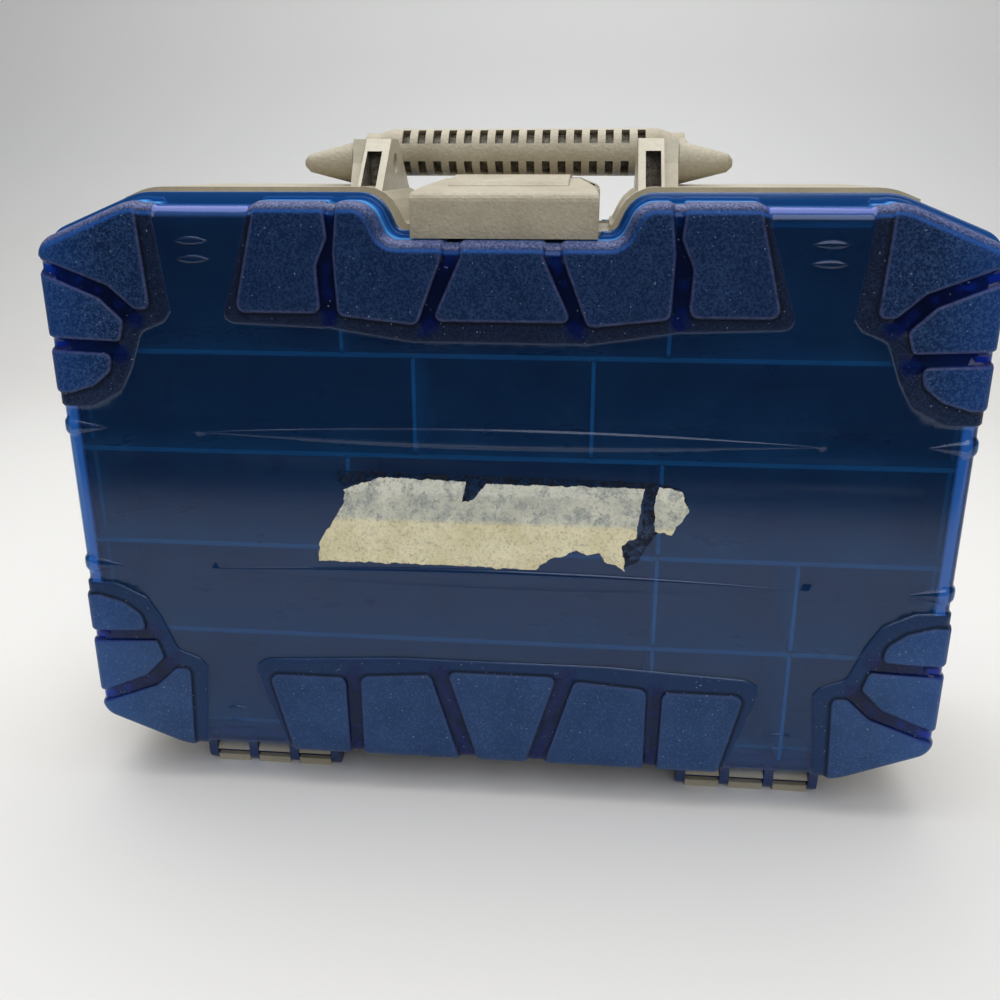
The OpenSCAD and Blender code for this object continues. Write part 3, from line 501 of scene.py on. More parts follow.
def blue_lid_plastic(name, case):
    """Clear polycarbonate tinted blue, moulded glossy over the window and grained on the armour. The gloss shows the
    trays through it; the grain scatters light and holds dust. The upper edges carry a painted highlight and a painted
    sheen, and the clear wall a painted glow where light enters it."""
    lids = case.lids
    material, tree = new_material(name)
    pad, bed, inside, groove, roll, up = (mesh_value(tree, label) for label in MARKS)
    place = add_node(tree, "ShaderNodeSeparateXYZ", Vector=object_point(tree)).outputs
    off_centre = maths(tree, "ABSOLUTE", place["X"])
    grained = ramp(tree, bed, 0.35, 0.6)
    groove = maths(tree, "MULTIPLY", groove, grained)
    cloud = noise(tree, 24, 4, 0.62, seed=1.0)
    sparkle = noise(tree, 1.1, 2, 0.65, seed=2.0)
    # Light that enters the side walls glows in the armour near them
    glow_in = ramp(tree, off_centre, (HALF_W - 34) * MM, (HALF_W - 4) * MM)
    # Plain colours of the window, the bed, the pads and the grooves
    window_tone = blend(tree, ramp(tree, cloud, 0.3, 0.75), linear("#12448a"), linear("#2462a8"))
    # Pale grey-blue in the grain's pits higher up, and thick and even on the lower pads and the corners; the lower beds
    #     # are also a lighter blue
    low = ramp(tree, place["Z"], 90 * MM, 240 * MM, 1.0, 0.0)
    much = maths(tree, "ADD", ramp(tree, low, 0.0, 1.0, 0.45, 1.0), ramp(tree, off_centre, 0.15, 0.2, 0.0, 0.3))
    pits = ramp(tree, sparkle, 0.44, 0.60)
    pits = maths(tree, "MAXIMUM", pits, ramp(tree, low, 0.0, 1.0, 0.0, 0.62))
    dust = maths(tree, "MULTIPLY", maths(tree, "MULTIPLY", pits, ramp(tree, cloud, 0.30, 0.70, 0.6, 1.0)), much)
    bed_tone = blend(tree, maths(tree, "MULTIPLY", dust, 0.45), linear("#04132f"), linear("#3a5580"))
    pad_base = blend(tree, maths(tree, "MULTIPLY", glow_in, 0.55), linear("#032048"), linear("#12468f"))
    pad_tone = blend(tree, maths(tree, "MULTIPLY", dust, 0.7), pad_base, linear("#45689c"))
    bed_tone = blend(tree, maths(tree, "MULTIPLY", low, 0.55), bed_tone, linear("#1d3a66"))
    tone = blend(tree, ramp(tree, pad, 0.5, 0.95), bed_tone, pad_tone)
    groove_tone = blend(tree, glow_in, linear("#04165a"), linear("#0a30b4"))
    tone = blend(tree, maths(tree, "MULTIPLY", groove, 0.95), tone, groove_tone)
    # A broken pale violet line just inside each pad's edge, fainter low down
    edge = maths(tree, "MULTIPLY", ramp(tree, inside, -0.3, 0.4), ramp(tree, inside, 0.8, 1.6, 1.0, 0.0))
    pale_pad_rim = maths(tree, "MULTIPLY", edge, ramp(tree, noise(tree, 3.0, 3, 0.7, seed=4.0), 0.30, 0.65, 0.1, 0.6))
    pale_pad_rim = maths(tree, "MULTIPLY", pale_pad_rim, ramp(tree, low, 0.0, 1.0, 1.0, 0.4))
    # Painted shade: a dark navy band just outside each pad's edge, where the pad rises from the bed
    painted_crease_shade = maths(tree, "MULTIPLY", ramp(tree, inside, -2.4, -1.0), ramp(tree, inside, -0.4, 0.1, 1.0, 0.0))
    tone = blend(tree, maths(tree, "MULTIPLY", painted_crease_shade, 0.7), tone, linear("#020818"))
    tone = blend(tree, pale_pad_rim, tone, linear("#565c86"))
    tone = blend(tree, grained, window_tone, tone)
    specks = maths(tree, "MULTIPLY", ramp(tree, noise(tree, 1.1, 0, 0.5, seed=7.0), 0.80, 0.83), grained)
    tone = blend(tree, maths(tree, "MULTIPLY", specks, 0.6), tone, linear("#9aa8c0"))
    # The rolled edge, painted light throughout: a painted highlight line where it faces up, a painted sheen from the
    # bright
    #     # room above on its upward faces (grey and mottled on the grain, violet over the window), then the side wall's
    #     painted glow
    sky = ramp(tree, up, 0.2, 0.8)
    # Painted highlight: a bright blue line at the start of the roll, where it faces up
    line = maths(tree, "MULTIPLY", ramp(tree, roll, 0.02, 0.16), ramp(tree, roll, 0.20, 0.34, 1.0, 0.0))
    tone = blend(tree, maths(tree, "MULTIPLY", maths(tree, "MULTIPLY", line, sky), 0.6), tone, linear("#1c5cb4"))
    # Painted sheen: the bright room above mirrored on the roll's upward faces, mottled on the grain
    shoulder = maths(tree, "MULTIPLY", ramp(tree, roll, 0.26, 0.5), ramp(tree, roll, 0.8, 1.05, 1.0, 0.0))
    painted_sky_sheen = blend(tree, ramp(tree, sparkle, 0.4, 0.65), linear("#2a3868"), linear("#6a7198"))
    painted_sky_sheen = blend(tree, grained, linear("#3454c4"), painted_sky_sheen)
    tone = blend(tree, maths(tree, "MULTIPLY", shoulder, sky), tone, painted_sky_sheen)
    # Painted glow: the side wall glows blue, brighter where it faces up, with paler painted light stripes
    side = ramp(tree, roll, 0.85, 1.1)
    painted_light_stripes = maths(tree, "MULTIPLY", ramp(tree, roll, 1.15, 1.3), ramp(tree, roll, 1.45, 1.6, 1.0, 0.0))
    glow = blend(tree, painted_light_stripes, linear("#175ca4"), linear("#3a96d8"))
    wall = blend(tree, ramp(tree, up, -0.3, 0.7), linear("#0f3c84"), glow)
    tone = blend(tree, side, tone, wall)
    # The rim beside the window is closed by the body behind it, with one painted highlight line along it
    beside = maths(tree, "MULTIPLY", ramp(tree, place["Z"], WINDOW_LOW[0] * MM, WINDOW_LOW[1] * MM),
                   ramp(tree, place["Z"], WINDOW_HIGH[0] * MM, WINDOW_HIGH[1] * MM, 1.0, 0.0))
    rim = maths(tree, "MULTIPLY", ramp(tree, off_centre, (HALF_W - 3) * MM, (HALF_W - 1.5) * MM), beside)
    tone = blend(tree, maths(tree, "MULTIPLY", rim, 0.8), tone, linear("#0f3468"))
    # Painted highlight: a thin pale blue line just outside the lid's side, beside the window
    thin = maths(tree, "MULTIPLY", ramp(tree, off_centre, (HALF_W + 0.2) * MM, (HALF_W + 0.6) * MM),
                 ramp(tree, off_centre, (HALF_W + 1.2) * MM, (HALF_W + 1.6) * MM, 1.0, 0.0))
    tone = blend(tree, maths(tree, "MULTIPLY", thin, beside), tone, linear("#4a78b0"))
    # Light from the clear side wall fills the window's edge with a bright band
    band = maths(tree, "MULTIPLY", ramp(tree, off_centre, (HALF_W - 12) * MM, (HALF_W - 10) * MM),
                 ramp(tree, off_centre, (HALF_W - 6.2) * MM, (HALF_W - 5) * MM, 1.0, 0.0))
    band = maths(tree, "MULTIPLY", band, maths(tree, "SUBTRACT", 1.0, grained))
    band = maths(tree, "MULTIPLY", band, beside)
    tone = blend(tree, band, tone, linear("#2a68c0"))
    # Grain and handling scratches
    grain = maths(tree, "MULTIPLY", noise(tree, 1.2, 2, 0.55, seed=6.0), maths(tree, "SUBTRACT", grained, groove))
    bump = add_node(tree, "ShaderNodeBump", Strength=0.9, Distance=0.4 * MM, Height=grain)
    scratch = stretched_noise(tree, 2, 8.0, Scale=(6, 6, 120), Rotation=(0, 0.5, 0))
    rough = ramp(tree, maths(tree, "SUBTRACT", grained, groove), 0.0, 1.0, 0.14, 0.45)
    rough = maths(tree, "ADD", rough, ramp(tree, scratch, 0.55, 0.75, 0.0, 0.10))
    clarity = ramp(tree, grained, 0.0, 1.0, lids.window_clear, lids.pad_clear)
    clarity = maths(tree, "ADD", clarity, maths(tree, "MULTIPLY", groove, 0.3))
    closed = ramp(tree, roll, 0.05, 0.4)
    clarity = maths(tree, "MULTIPLY", clarity, ramp(tree, maths(tree, "MULTIPLY", closed, sky), 0.0, 1.0, 1.0, 0.45))
    clarity = maths(tree, "MULTIPLY", clarity, ramp(tree, maths(tree, "MAXIMUM", band, rim), 0.0, 1.0, 1.0, 0.3))
    dull = ramp(tree, grained, 0.0, 1.0, 0.5, 0.12)  # the grain's pits shade one another, so it shines less
    skin = add_node(tree, "ShaderNodeBsdfPrincipled", Base_Color=tone, Roughness=rough, Normal=bump.outputs[0],
                    IOR=POLYCARBONATE, Specular_IOR_Level=dull)
    mix = add_node(tree, "ShaderNodeMixShader", _0=clarity, _1=skin.outputs[0],
                   _2=polished_face(tree, lids.tint_hex, rough))
    add_node(tree, "ShaderNodeOutputMaterial", Surface=mix.outputs[0])
    return material


def in_grip_slots(tree):
    """1 inside the grip's finger slots, by distance from its axis, in the plastic's own place on the case."""
    at = add_node(tree, "ShaderNodeSeparateXYZ", Vector=object_point(tree)).outputs
    y, z = maths(tree, "SUBTRACT", at["Y"], GRIP_Y * MM), maths(tree, "SUBTRACT", at["Z"], GRIP_Z * MM)
    off_axis = maths(tree, "SQRT", maths(tree, "ADD", maths(tree, "MULTIPLY", y, y), maths(tree, "MULTIPLY", z, z)))
    along = ramp(tree, maths(tree, "ABSOLUTE", at["X"]), (SLOTS_HALF - 0.2) * MM, (SLOTS_HALF + 0.2) * MM, 1.0, 0.0)
    deep = ramp(tree, off_axis, (GRIP_R - SLOT_DEPTH) * MM, (GRIP_R - 0.5) * MM, 1.0, 0.0)
    return maths(tree, "MULTIPLY", deep, along)


def on_front_edges(tree):
    """1 on the front edges of the tray's walls, which light from the lid reaches first."""
    depth = maths(tree, "ABSOLUTE", add_node(tree, "ShaderNodeSeparateXYZ", Vector=object_point(tree)).outputs["Y"])
    return ramp(tree, depth, (TRAY_FRONT - 1.2) * MM, (TRAY_FRONT - 0.4) * MM)


def in_tower_windows(tree):
    """1 inside the upright openings in the front and the back of the towers."""
    at = add_node(tree, "ShaderNodeSeparateXYZ", Vector=object_point(tree)).outputs
    across = maths(tree, "ABSOLUTE", at["X"])
    left, right = TOWER_WINDOW
    inside = maths(tree, "MULTIPLY", ramp(tree, across, (left - 0.1) * MM, left * MM),
                   ramp(tree, across, right * MM, (right + 0.1) * MM, 1.0, 0.0))
    below = ramp(tree, at["Z"], TOWER_WINDOW_TOP * MM, (TOWER_WINDOW_TOP + 0.1) * MM, 1.0, 0.0)
    return maths(tree, "MULTIPLY", inside, below)


def blue_inner_plastic(name):
    """The polished inner face of the same blue polycarbonate. The tint is already in the outer face, so this one only
    adds its gloss and a thin film of dust."""
    material, tree = new_material(name)
    wear = noise(tree, 14, 3, 0.6, seed=11.0)
    rough = ramp(tree, wear, 0.3, 0.7, 0.12, 0.22)
    film = add_node(tree, "ShaderNodeBsdfPrincipled", Roughness=rough, IOR=POLYCARBONATE,
                    Base_Color=blend(tree, wear, linear("#0d2450"), linear("#14306a")))
    mix = add_node(tree, "ShaderNodeMixShader", _0=0.96, _1=film.outputs[0],
                   _2=polished_face(tree, "#f0f5ff", rough))
    add_node(tree, "ShaderNodeOutputMaterial", Surface=mix.outputs[0])
    return material


def hinge_plastic(name):
    """Solid blue polycarbonate lugs. They are thick, so the tint is deep, and their cut ends catch light."""
    material, tree = new_material(name)
    cloud = noise(tree, 9, 3, 0.6, seed=2.0)
    shader = add_node(tree, "ShaderNodeBsdfPrincipled", IOR=POLYCARBONATE,
                      Base_Color=blend(tree, cloud, linear("#081c42"), linear("#163f7c")),
                      Roughness=ramp(tree, cloud, 0.3, 0.7, 0.15, 0.3))
    add_node(tree, "ShaderNodeOutputMaterial", Surface=shader.outputs[0])
    return material


def steel_wire(name):
    """Drawn steel wire, zinc plated. Drawing leaves fine lines along it."""
    material, tree = new_material(name)
    streak = stretched_noise(tree, 2, 2.0, Scale=(20, 3000, 3000))
    shader = add_node(tree, "ShaderNodeBsdfPrincipled", Metallic=1.0,
                      Base_Color=blend(tree, streak, linear("#9a9c9e"), linear("#c4c6c8")),
                      Roughness=ramp(tree, streak, 0.3, 0.7, 0.25, 0.42))
    add_node(tree, "ShaderNodeOutputMaterial", Surface=shader.outputs[0])
    return material


def masking_tape(name):
    """Crepe paper masking tape, aged. Two strips overlap; the lower is yellowed and the upper is greyed where its top
    layer has torn away, and the crepe leaves fine upright wrinkles."""
    material, tree = new_material(name)
    height = add_node(tree, "ShaderNodeSeparateXYZ", Vector=object_point(tree)).outputs["Z"]
    strip = ramp(tree, height, (CENTRE_Z - 9) * MM, (CENTRE_Z - 6) * MM)
    patches = noise(tree, 14, 5, 0.65, seed=3.0)
    fibres = noise(tree, 1.3, 4, 0.75, seed=6.0)
    low = blend(tree, ramp(tree, patches, 0.35, 0.7), linear("#f1e9c8"), linear("#d9cfa4"))
    high = blend(tree, ramp(tree, patches, 0.3, 0.7), linear("#e2e2d0"), linear("#b2b5ab"))
    tone = blend(tree, strip, low, high)
    top_band = ramp(tree, height, (CENTRE_Z + 6) * MM, (CENTRE_Z + 8) * MM)
    tone = blend(tree, maths(tree, "MULTIPLY", top_band, 0.5), tone, linear("#e8e9dc"))
    bare = maths(tree, "MULTIPLY", ramp(tree, noise(tree, 7.0, 5, 0.75, seed=5.0), 0.50, 0.58),
                 ramp(tree, strip, 0.0, 1.0, 0.12, 1.0))
    tone = blend(tree, maths(tree, "MULTIPLY", bare, ramp(tree, fibres, 0.35, 0.65, 0.2, 0.9)), tone, linear("#848f93"))
    tone = blend(tree, ramp(tree, fibres, 0.50, 0.66, 0.0, 0.55), tone, linear("#857c5e"))
    crepe = stretched_noise(tree, 2, 1.0, Scale=(900, 900, 160))
    bump = add_node(tree, "ShaderNodeBump", Strength=0.7, Distance=0.12 * MM, Height=crepe)
    shader = add_node(tree, "ShaderNodeBsdfPrincipled", Base_Color=tone, Roughness=0.82, Normal=bump.outputs[0])
    add_node(tree, "ShaderNodeOutputMaterial", Surface=shader.outputs[0])
    return material


def tape_glue(name):
    """Rubber glue left where tape was torn off. It has caught black dirt and holds a few paper fibres."""
    material, tree = new_material(name)
    fibres = ramp(tree, noise(tree, 1.0, 4, 0.8, seed=4.0), 0.60, 0.66)
    tone = blend(tree, noise(tree, 6, 4, 0.7, seed=2.0), linear("#070b14"), linear("#1a2230"))
    tone = blend(tree, maths(tree, "MULTIPLY", fibres, 0.7), tone, linear("#8f9292"))
    film = add_node(tree, "ShaderNodeBsdfPrincipled", Base_Color=tone, Roughness=0.55, Specular_IOR_Level=0.2)
    clear = add_node(tree, "ShaderNodeBsdfTransparent", Color=linear("#ffffff"))
    share = ramp(tree, noise(tree, 4, 5, 0.8, seed=7.0), 0.42, 0.60, 0.0, 0.85)
    mix = add_node(tree, "ShaderNodeMixShader", _0=share, _1=clear.outputs[0], _2=film.outputs[0])
    add_node(tree, "ShaderNodeOutputMaterial", Surface=mix.outputs[0])
    return material


def plain_surface(name, colour, mottle, seed, wall=None):
    """Painted board under soft light, with the faintest mottling. Its upright part can have a paint of its own."""
    material, tree = new_material(name)
    cloud = noise(tree, 260, 2, 0.5, seed=seed)
    tone = blend(tree, ramp(tree, cloud, 0.3, 0.7, 0.0, 0.25), linear(colour), linear(mottle))
    height = add_node(tree, "ShaderNodeSeparateXYZ", Vector=object_point(tree)).outputs["Z"]
    tone = blend(tree, ramp(tree, height, 0.02, 0.35), tone, linear(wall or colour))
    shader = add_node(tree, "ShaderNodeBsdfPrincipled", Base_Color=tone, Roughness=0.6)
    add_node(tree, "ShaderNodeOutputMaterial", Surface=shader.outputs[0])
    return material


# ---- Properties ------------------------------

class StageSettings(bpy.types.PropertyGroup):
    lens: FloatProperty(name="Lens", description="Focal length on a 36 mm sensor", default=35.71, min=10, unit="CAMERA")
    lamp_w: FloatProperty(name="Main lamp", description="Power of the lamp overhead, in watts", default=18.5, min=0)
    front_w: FloatProperty(name="Front lamp", description="Power of the lamp in front, in watts", default=9.5, min=0)
    ceiling: FloatProperty(name="Ceiling light", description="Strength of the even light from above", default=0.55,
                           min=0)
    horizon: FloatProperty(name="Room light", description="Strength of the even light from the sides", default=0.08,
                           min=0)
    floor_hex: StringProperty(name="Floor colour", description="sRGB hex", default="#e8e6e3")


class LidSettings(bpy.types.PropertyGroup):
    tint_hex: StringProperty(name="Tint", description="sRGB hex of white light seen through a lid", default="#4fafe2")
    window_clear: FloatProperty(name="Window clarity", description="Share of light that the window passes",
                                default=0.86, min=0, max=1, subtype="FACTOR")
    pad_clear: FloatProperty(name="Pad clarity", description="Share of light that the pads pass", default=0.12, min=0,
                             max=1, subtype="FACTOR")


class BodySettings(bpy.types.PropertyGroup):
    beige_hex: StringProperty(name="Beige", description="sRGB hex of the moulded body", default="#b2aa95")
    edge: FloatProperty(name="Edge round", description="Radius on the mouldings' edges", default=0.0006, min=0,
                        unit="LENGTH")
    grain: FloatProperty(name="Grain", description="Size of the pebble grain on the latches and the handle",
                         default=0.0014, min=0.0001, unit="LENGTH")


class CaseSettings(bpy.types.PropertyGroup):
    stage: PointerProperty(type=StageSettings)
    lids: PointerProperty(type=LidSettings)
    body: PointerProperty(type=BodySettings)


# ---- Pieces ------------------------------

def new_piece(name, mesh, materials, body, replaces=()):
    """Links a mesh as a piece that rides on a body, in place of the CAD nodes that it replaces."""
    piece = bpy.data.objects.new(name, mesh)
    bpy.context.scene.collection.objects.link(piece)
    for material in materials:
        mesh.materials.append(material)
    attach(piece, body)
    if replaces:
        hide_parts(*replaces)
    return piece


def dress(node, material, edge=None, angle=38):
    """Gives a CAD node its material, smooth shading on its curves and a small round on its edges."""
    piece = NODES[node]
    mesh = piece.data
    mesh.materials.clear()
    mesh.materials.append(material)
    mesh.polygons.foreach_set("use_smooth", np.ones(len(mesh.polygons), bool))
    mesh.polygons.foreach_set("material_index", np.zeros(len(mesh.polygons), np.int32))
    mesh.set_sharp_from_angle(angle=math.radians(angle))
    if edge:
        bevel = piece.modifiers.new("edge round", "BEVEL")
        bevel.width = edge
        bevel.segments = 2
        bevel.limit_method = "ANGLE"
        bevel.angle_limit = math.radians(angle)
        bevel.harden_normals = False
    return piece


CAMERA_AT = (0.04479, -0.5350, 0.33073)
CAMERA_YAW, CAMERA_PITCH, CAMERA_ROLL = 5.62, -18.8, 0.05
COUNTER_FRONT, COUNTER_BACK, CURVE_R = -0.56, 0.9, 0.5
# Height of the dark floor sheet, painted shade under the counter
SHADE_FLOOR_Z = -0.9


class CASE_OT_stage(bpy.types.Operator):
    """Make the camera, the floor, the backdrop and the lamps"""
    bl_idname = "case.make_stage"
    bl_label = "Make Stage"

    def execute(self, context):
        stage = context.scene.case_looks.stage
        scene = context.scene
        scene.view_settings.view_transform = "Standard"
        data = bpy.data.cameras.new("Camera")
        data.lens, data.sensor_width, data.sensor_fit = stage.lens, 36.0, "HORIZONTAL"
        data.clip_start = 0.02
        camera = bpy.data.objects.new("Camera", data)
        scene.collection.objects.link(camera)
        turn = Matrix.Identity(4)
        for degrees, axis in ((CAMERA_YAW, "Z"), (CAMERA_PITCH, "X"), (CAMERA_ROLL, "Y"), (90, "X")):
            turn = turn @ Matrix.Rotation(math.radians(degrees), 4, axis)
        camera.matrix_world = Matrix.Translation(CAMERA_AT) @ turn
        scene.camera = camera
        # The counter and its backdrop are one sheet with a wide curve between them. The counter ends before the
        #         # camera, and the floor sheet under it is dark grey painted shade, so only the lower half of the front
        #         lid mirrors something pale
        curve = [(COUNTER_BACK + CURVE_R * math.sin(a), CURVE_R * (1 - math.cos(a)))
                 for a in np.radians(np.linspace(6, 90, 15))]
        counter = [(COUNTER_FRONT, -0.04), (COUNTER_FRONT, 0.0), (COUNTER_BACK, 0.0), *curve,
                   (COUNTER_BACK + CURVE_R, 2.6)]
        for name, profile, width, colours in (
                ("counter_sheet", counter, 2.6, ("Painted board, pale grey", stage.floor_hex, "#e9e9e7", "#dfe0df")),
                ("floor_sheet", [(-4.0, SHADE_FLOOR_Z), (0.0, SHADE_FLOOR_Z)], 4.0, ("Floor sheet, dark grey, painted shade", "#2c2c2e", "#3a3836"))):
            verts = [(side * width, y, z) for y, z in profile for side in (-1, 1)]
            faces = [(2 * i, 2 * i + 1, 2 * i + 3, 2 * i + 2) for i in range(len(profile) - 1)]
            mesh = bpy.data.meshes.new(name)
            mesh.from_pydata(verts, [], faces)
            mesh.polygons.foreach_set("use_smooth", np.ones(len(mesh.polygons), bool))
            mesh.set_sharp_from_angle(angle=math.radians(40))
            mesh.materials.append(plain_surface(*colours[:3], 1.0, *colours[3:]))
            sheet = bpy.data.objects.new(name, mesh)
            scene.collection.objects.link(sheet)
        for name, place, aim, size, power in (
                ("overhead", (-0.1, 0.25, 1.35), (0, 0.05, 0.15), 1.6, stage.lamp_w),
                ("front", (0.4, -1.25, 1.25), (0, 0, 0.2), 1.2, stage.front_w)):
            lamp = bpy.data.lights.new(name, "AREA")
            lamp.energy, lamp.size = power, size
            holder = bpy.data.objects.new(name, lamp)
            scene.collection.objects.link(holder)
            holder.location = place
            holder.rotation_euler = (Vector(aim) - Vector(place)).to_track_quat("-Z", "Y").to_euler()
        world = bpy.data.worlds.new("Room")
        world.use_nodes = True
        world.node_tree.nodes.clear()
        height = add_node(world.node_tree, "ShaderNodeTexCoord").outputs["Generated"]
        height = add_node(world.node_tree, "ShaderNodeSeparateXYZ", Vector=height).outputs["Z"]
        sky = add_node(world.node_tree, "ShaderNodeBackground", Color=linear("#f2f4f6"),
                       Strength=ramp(world.node_tree, height, 0.1, 0.7, stage.horizon, stage.ceiling))
        add_node(world.node_tree, "ShaderNodeOutputWorld", Surface=sky.outputs[0])
        scene.world = world
        return {"FINISHED"}


class CASE_OT_lids(bpy.types.Operator):
    """Make the two armoured lids, one on each face of the case"""
    bl_idname = "case.make_lids"
    bl_label = "Make Lids"

    def execute(self, context):
        case = context.scene.case_looks
        outer = blue_lid_plastic("Clear blue polycarbonate, grained and polished mould", case)
        inner = blue_inner_plastic("Clear blue polycarbonate, polished inside")
        front = lid_mesh("front_lid_shell")
        new_piece("front_lid_shell", front, (outer, inner), "front_lid_body", ["front_lid"])
        rear = front.copy()
        rear.name = "rear_lid_shell"
        rear.materials.clear()
        rear.transform(Matrix.Rotation(math.pi, 4, "Z"))
        new_piece("rear_lid_shell", rear, (outer, inner), "rear_lid_body", ["rear_lid"])
        return {"FINISHED"}


class CASE_OT_hinges(bpy.types.Operator):
    """Dress the hinge lugs, rods and clips"""
    bl_idname = "case.dress_hinges"
    bl_label = "Dress Hinges"

    def execute(self, context):
        blue = hinge_plastic("Clear blue polycarbonate, solid lug")
        beige = bpy.data.materials["Polypropylene, beige, fine grain"]
        for node in ("front_hinge_lugs", "rear_hinge_lugs"):
            dress(node, blue, 0.0004)
        for node in ("front_hinge_clips", "rear_hinge_clips"):
            dress(node, beige, 0.0003)
        return {"FINISHED"}


class CASE_OT_body(bpy.types.Operator):
    """Dress the body, its trays and the towers"""
    bl_idname = "case.dress_body"
    bl_label = "Dress Body"

    def execute(self, context):
        body = context.scene.case_looks.body
        smooth_beige = beige_plastic("Polypropylene, beige, fine grain", body.beige_hex, 0.8, 0.05, 0.35, 0.42)
        # The tray's walls get a painted highlight on their front edges, which light through the lid reaches first
        tray = beige_plastic("Polypropylene, beige, polished tray", "#8a8271", 0.9, 0.02, 0.15, 0.3,
                             painted_light_in=on_front_edges)
        pale = beige_plastic("Polypropylene, natural, divider", "#c6c0b0", 0.9, 0.02, 0.1, 0.35)
        frame_beige = beige_plastic("Polypropylene, beige, smooth tower", "#c8c1ae", 0.8, 0.04, 0.3, 0.38,
                                    dirt_in=in_tower_windows)
        for node in ("case_body", "latch_hinge_block"):
            dress(node, smooth_beige, body.edge)
        for node in ("left_tower", "right_tower"):
            dress(node, frame_beige, body.edge)
        for node in ("mid_wall", "front_row_walls", "rear_row_walls"):
            dress(node, tray)
        for node in ("front_dividers", "rear_dividers"):
            dress(node, pale)
        return {"FINISHED"}


class CASE_OT_latches(bpy.types.Operator):
    """Dress the latches and their pins"""
    bl_idname = "case.dress_latches"
    bl_label = "Dress Latches"

    def execute(self, context):
        body = context.scene.case_looks.body
        pebble = beige_plastic("Polypropylene, beige, pebble grain", body.beige_hex, body.grain / MM, 0.5, 0.5, 0.5)
        wire = steel_wire("Steel wire, zinc plated, drawn")
        for node in ("front_latch", "rear_latch"):
            dress(node, pebble, 0.0022)
        for node in ("front_latch_pin", "rear_latch_pin"):
            dress(node, wire)
        return {"FINISHED"}


class CASE_OT_handle(bpy.types.Operator):
    """Dress the grip, its arms and the pivot cones"""
    bl_idname = "case.dress_handle"
    bl_label = "Dress Handle"

    def execute(self, context):
        pebble = bpy.data.materials["Polypropylene, beige, pebble grain"]
        body = context.scene.case_looks.body
        dirty = beige_plastic("Polypropylene, beige, pebble grain, dirt in the slots", body.beige_hex, body.grain / MM,
                              0.5, 0.5, 0.5, dirt_in=in_grip_slots)
        dress("handle_grip", dirty, 0.0006)
        for node in ("left_handle_arm", "right_handle_arm"):
            dress(node, pebble, 0.0006)
        for node in ("left_pivot_cone", "right_pivot_cone"):
            dress(node, pebble)
        return {"FINISHED"}


# Torn tape, as [x, height above the middle of the case], anticlockwise
TAPE = [(-95, -31), (-27, -31), (17, -32), (24, -26), (31, -24), (37, -20.5), (43, -23), (49, -21.5), (53, -27),
        (58, -28), (62, -31), (60, -17), (67, -13), (68, -2), (70, 13), (-8, 13), (-14, 5), (-20, 3), (-18, 14),
        (-61, 15), (-80, 8), (-80, 1), (-94, -21)]
TAPE_SCRAP = [(76, -9), (84, -11), (92, 2), (88, 12), (77, 14), (75, 4)]
TAPE_GLUE = [(-78, 9), (-60, 14), (-30, 13), (-22, 2), (-12, 4), (-6, 12), (69, 12), (70, -8), (66, -14), (59, -18),
             (61, -29), (68, -26), (76, -11), (92, 0), (89, 13), (76, 16), (20, 17), (-40, 17.4), (-82, 18), (-84, 13)]


def torn_edge(outline, seed):
    """The outline with a torn paper edge: slow waves with short fibres on them."""
    rng = np.random.default_rng(seed)
    out = []
    points = np.array(outline, float)
    for a, b in zip(points, np.roll(points, -1, 0)):
        length = np.linalg.norm(b - a)
        cuts = max(3, int(length / 0.7))
        normal = left_of(unit(b - a))
        waves = rng.uniform(0, 2 * math.pi, 3)
        for k in range(cuts):
            t = k / cuts
            slow = sum(math.sin(length * t / reach + phase) for reach, phase in zip((3.1, 1.7, 1.0), waves))
            wobble = math.sin(math.pi * t) * 0.22 * slow + rng.normal(0, 0.16)
            out.append(a + (b - a) * t + normal * (wobble if k else 0.0))
    return np.array(out)


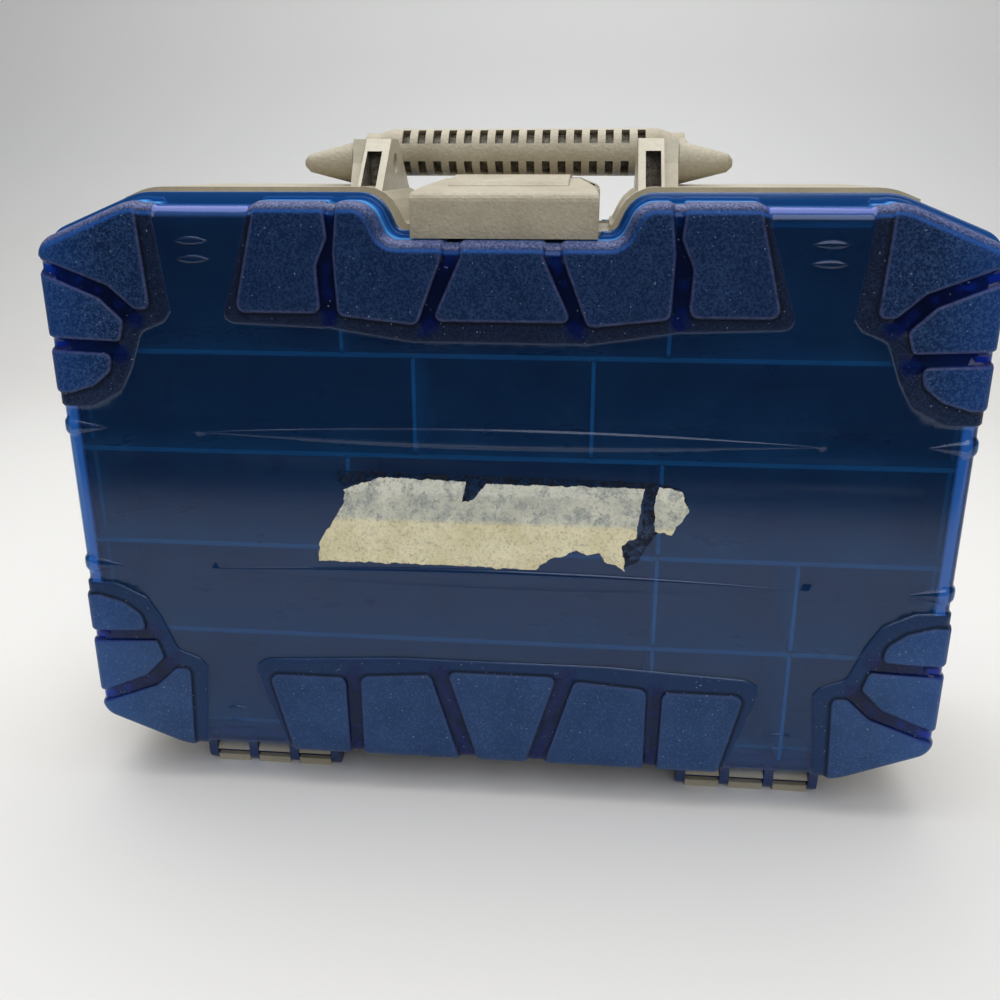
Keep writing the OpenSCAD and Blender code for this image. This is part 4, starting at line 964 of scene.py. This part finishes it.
class CASE_OT_label(bpy.types.Operator):
    """Stick the torn, blank masking tape on the front lid"""
    bl_idname = "case.make_label"
    bl_label = "Make Label"

    def execute(self, context):
        paper = masking_tape("Masking tape, crepe paper, aged")
        y = PAD_STEP - HALF_D
        glue = tape_glue("Masking tape glue, dirty")
        for name, outline, seed, skin, top in (
                ("tape_glue", TAPE_GLUE, 6, glue, -0.06), ("tape_label", TAPE, 4, paper, -0.2),
                ("tape_scrap", TAPE_SCRAP, 5, paper, -0.2)):
            edge = torn_edge(outline, seed)
            count = len(edge)
            verts = [(x * MM, (y + lift) * MM, (CENTRE_Z + z) * MM) for lift in (0.02, top) for x, z in edge]
            faces = [tuple(range(count, 2 * count)), tuple(reversed(range(count)))]
            faces += [(i, (i + 1) % count, count + (i + 1) % count, count + i) for i in range(count)]
            mesh = bpy.data.meshes.new(name)
            mesh.from_pydata(verts, [], faces)
            new_piece(name, mesh, (skin,), "front_lid_body")
        return {"FINISHED"}


class CASE_PT_panel(bpy.types.Panel):
    """Sizes, colours and makers of the tackle case"""
    bl_idname = "CASE_PT_panel"
    bl_label = "Tackle Case"
    bl_space_type = "VIEW_3D"
    bl_region_type = "UI"
    bl_category = "Tackle Case"

    def draw(self, context):
        case = context.scene.case_looks
        for group in (case.stage, case.lids, case.body):
            box = self.layout.box()
            for prop in group.bl_rna.properties.keys():
                if prop not in ("rna_type", "name"):
                    box.prop(group, prop)
        for operator in OPERATORS:
            self.layout.operator(operator.bl_idname)


OPERATORS = (CASE_OT_stage, CASE_OT_body, CASE_OT_lids, CASE_OT_hinges, CASE_OT_latches, CASE_OT_handle, CASE_OT_label)
CLASSES = (StageSettings, LidSettings, BodySettings, CaseSettings) + OPERATORS + (CASE_PT_panel,)


def register():
    for cls in CLASSES:
        bpy.utils.register_class(cls)
    bpy.types.Scene.case_looks = PointerProperty(type=CaseSettings)


def unregister():
    del bpy.types.Scene.case_looks
    for cls in reversed(CLASSES):
        bpy.utils.unregister_class(cls)


def main():
    register()
    bpy.ops.case.make_stage()
    bpy.ops.case.dress_body()
    bpy.ops.case.make_lids()
    bpy.ops.case.dress_hinges()
    bpy.ops.case.dress_latches()
    bpy.ops.case.dress_handle()
    bpy.ops.case.make_label()


if __name__ == "__main__":
    main()
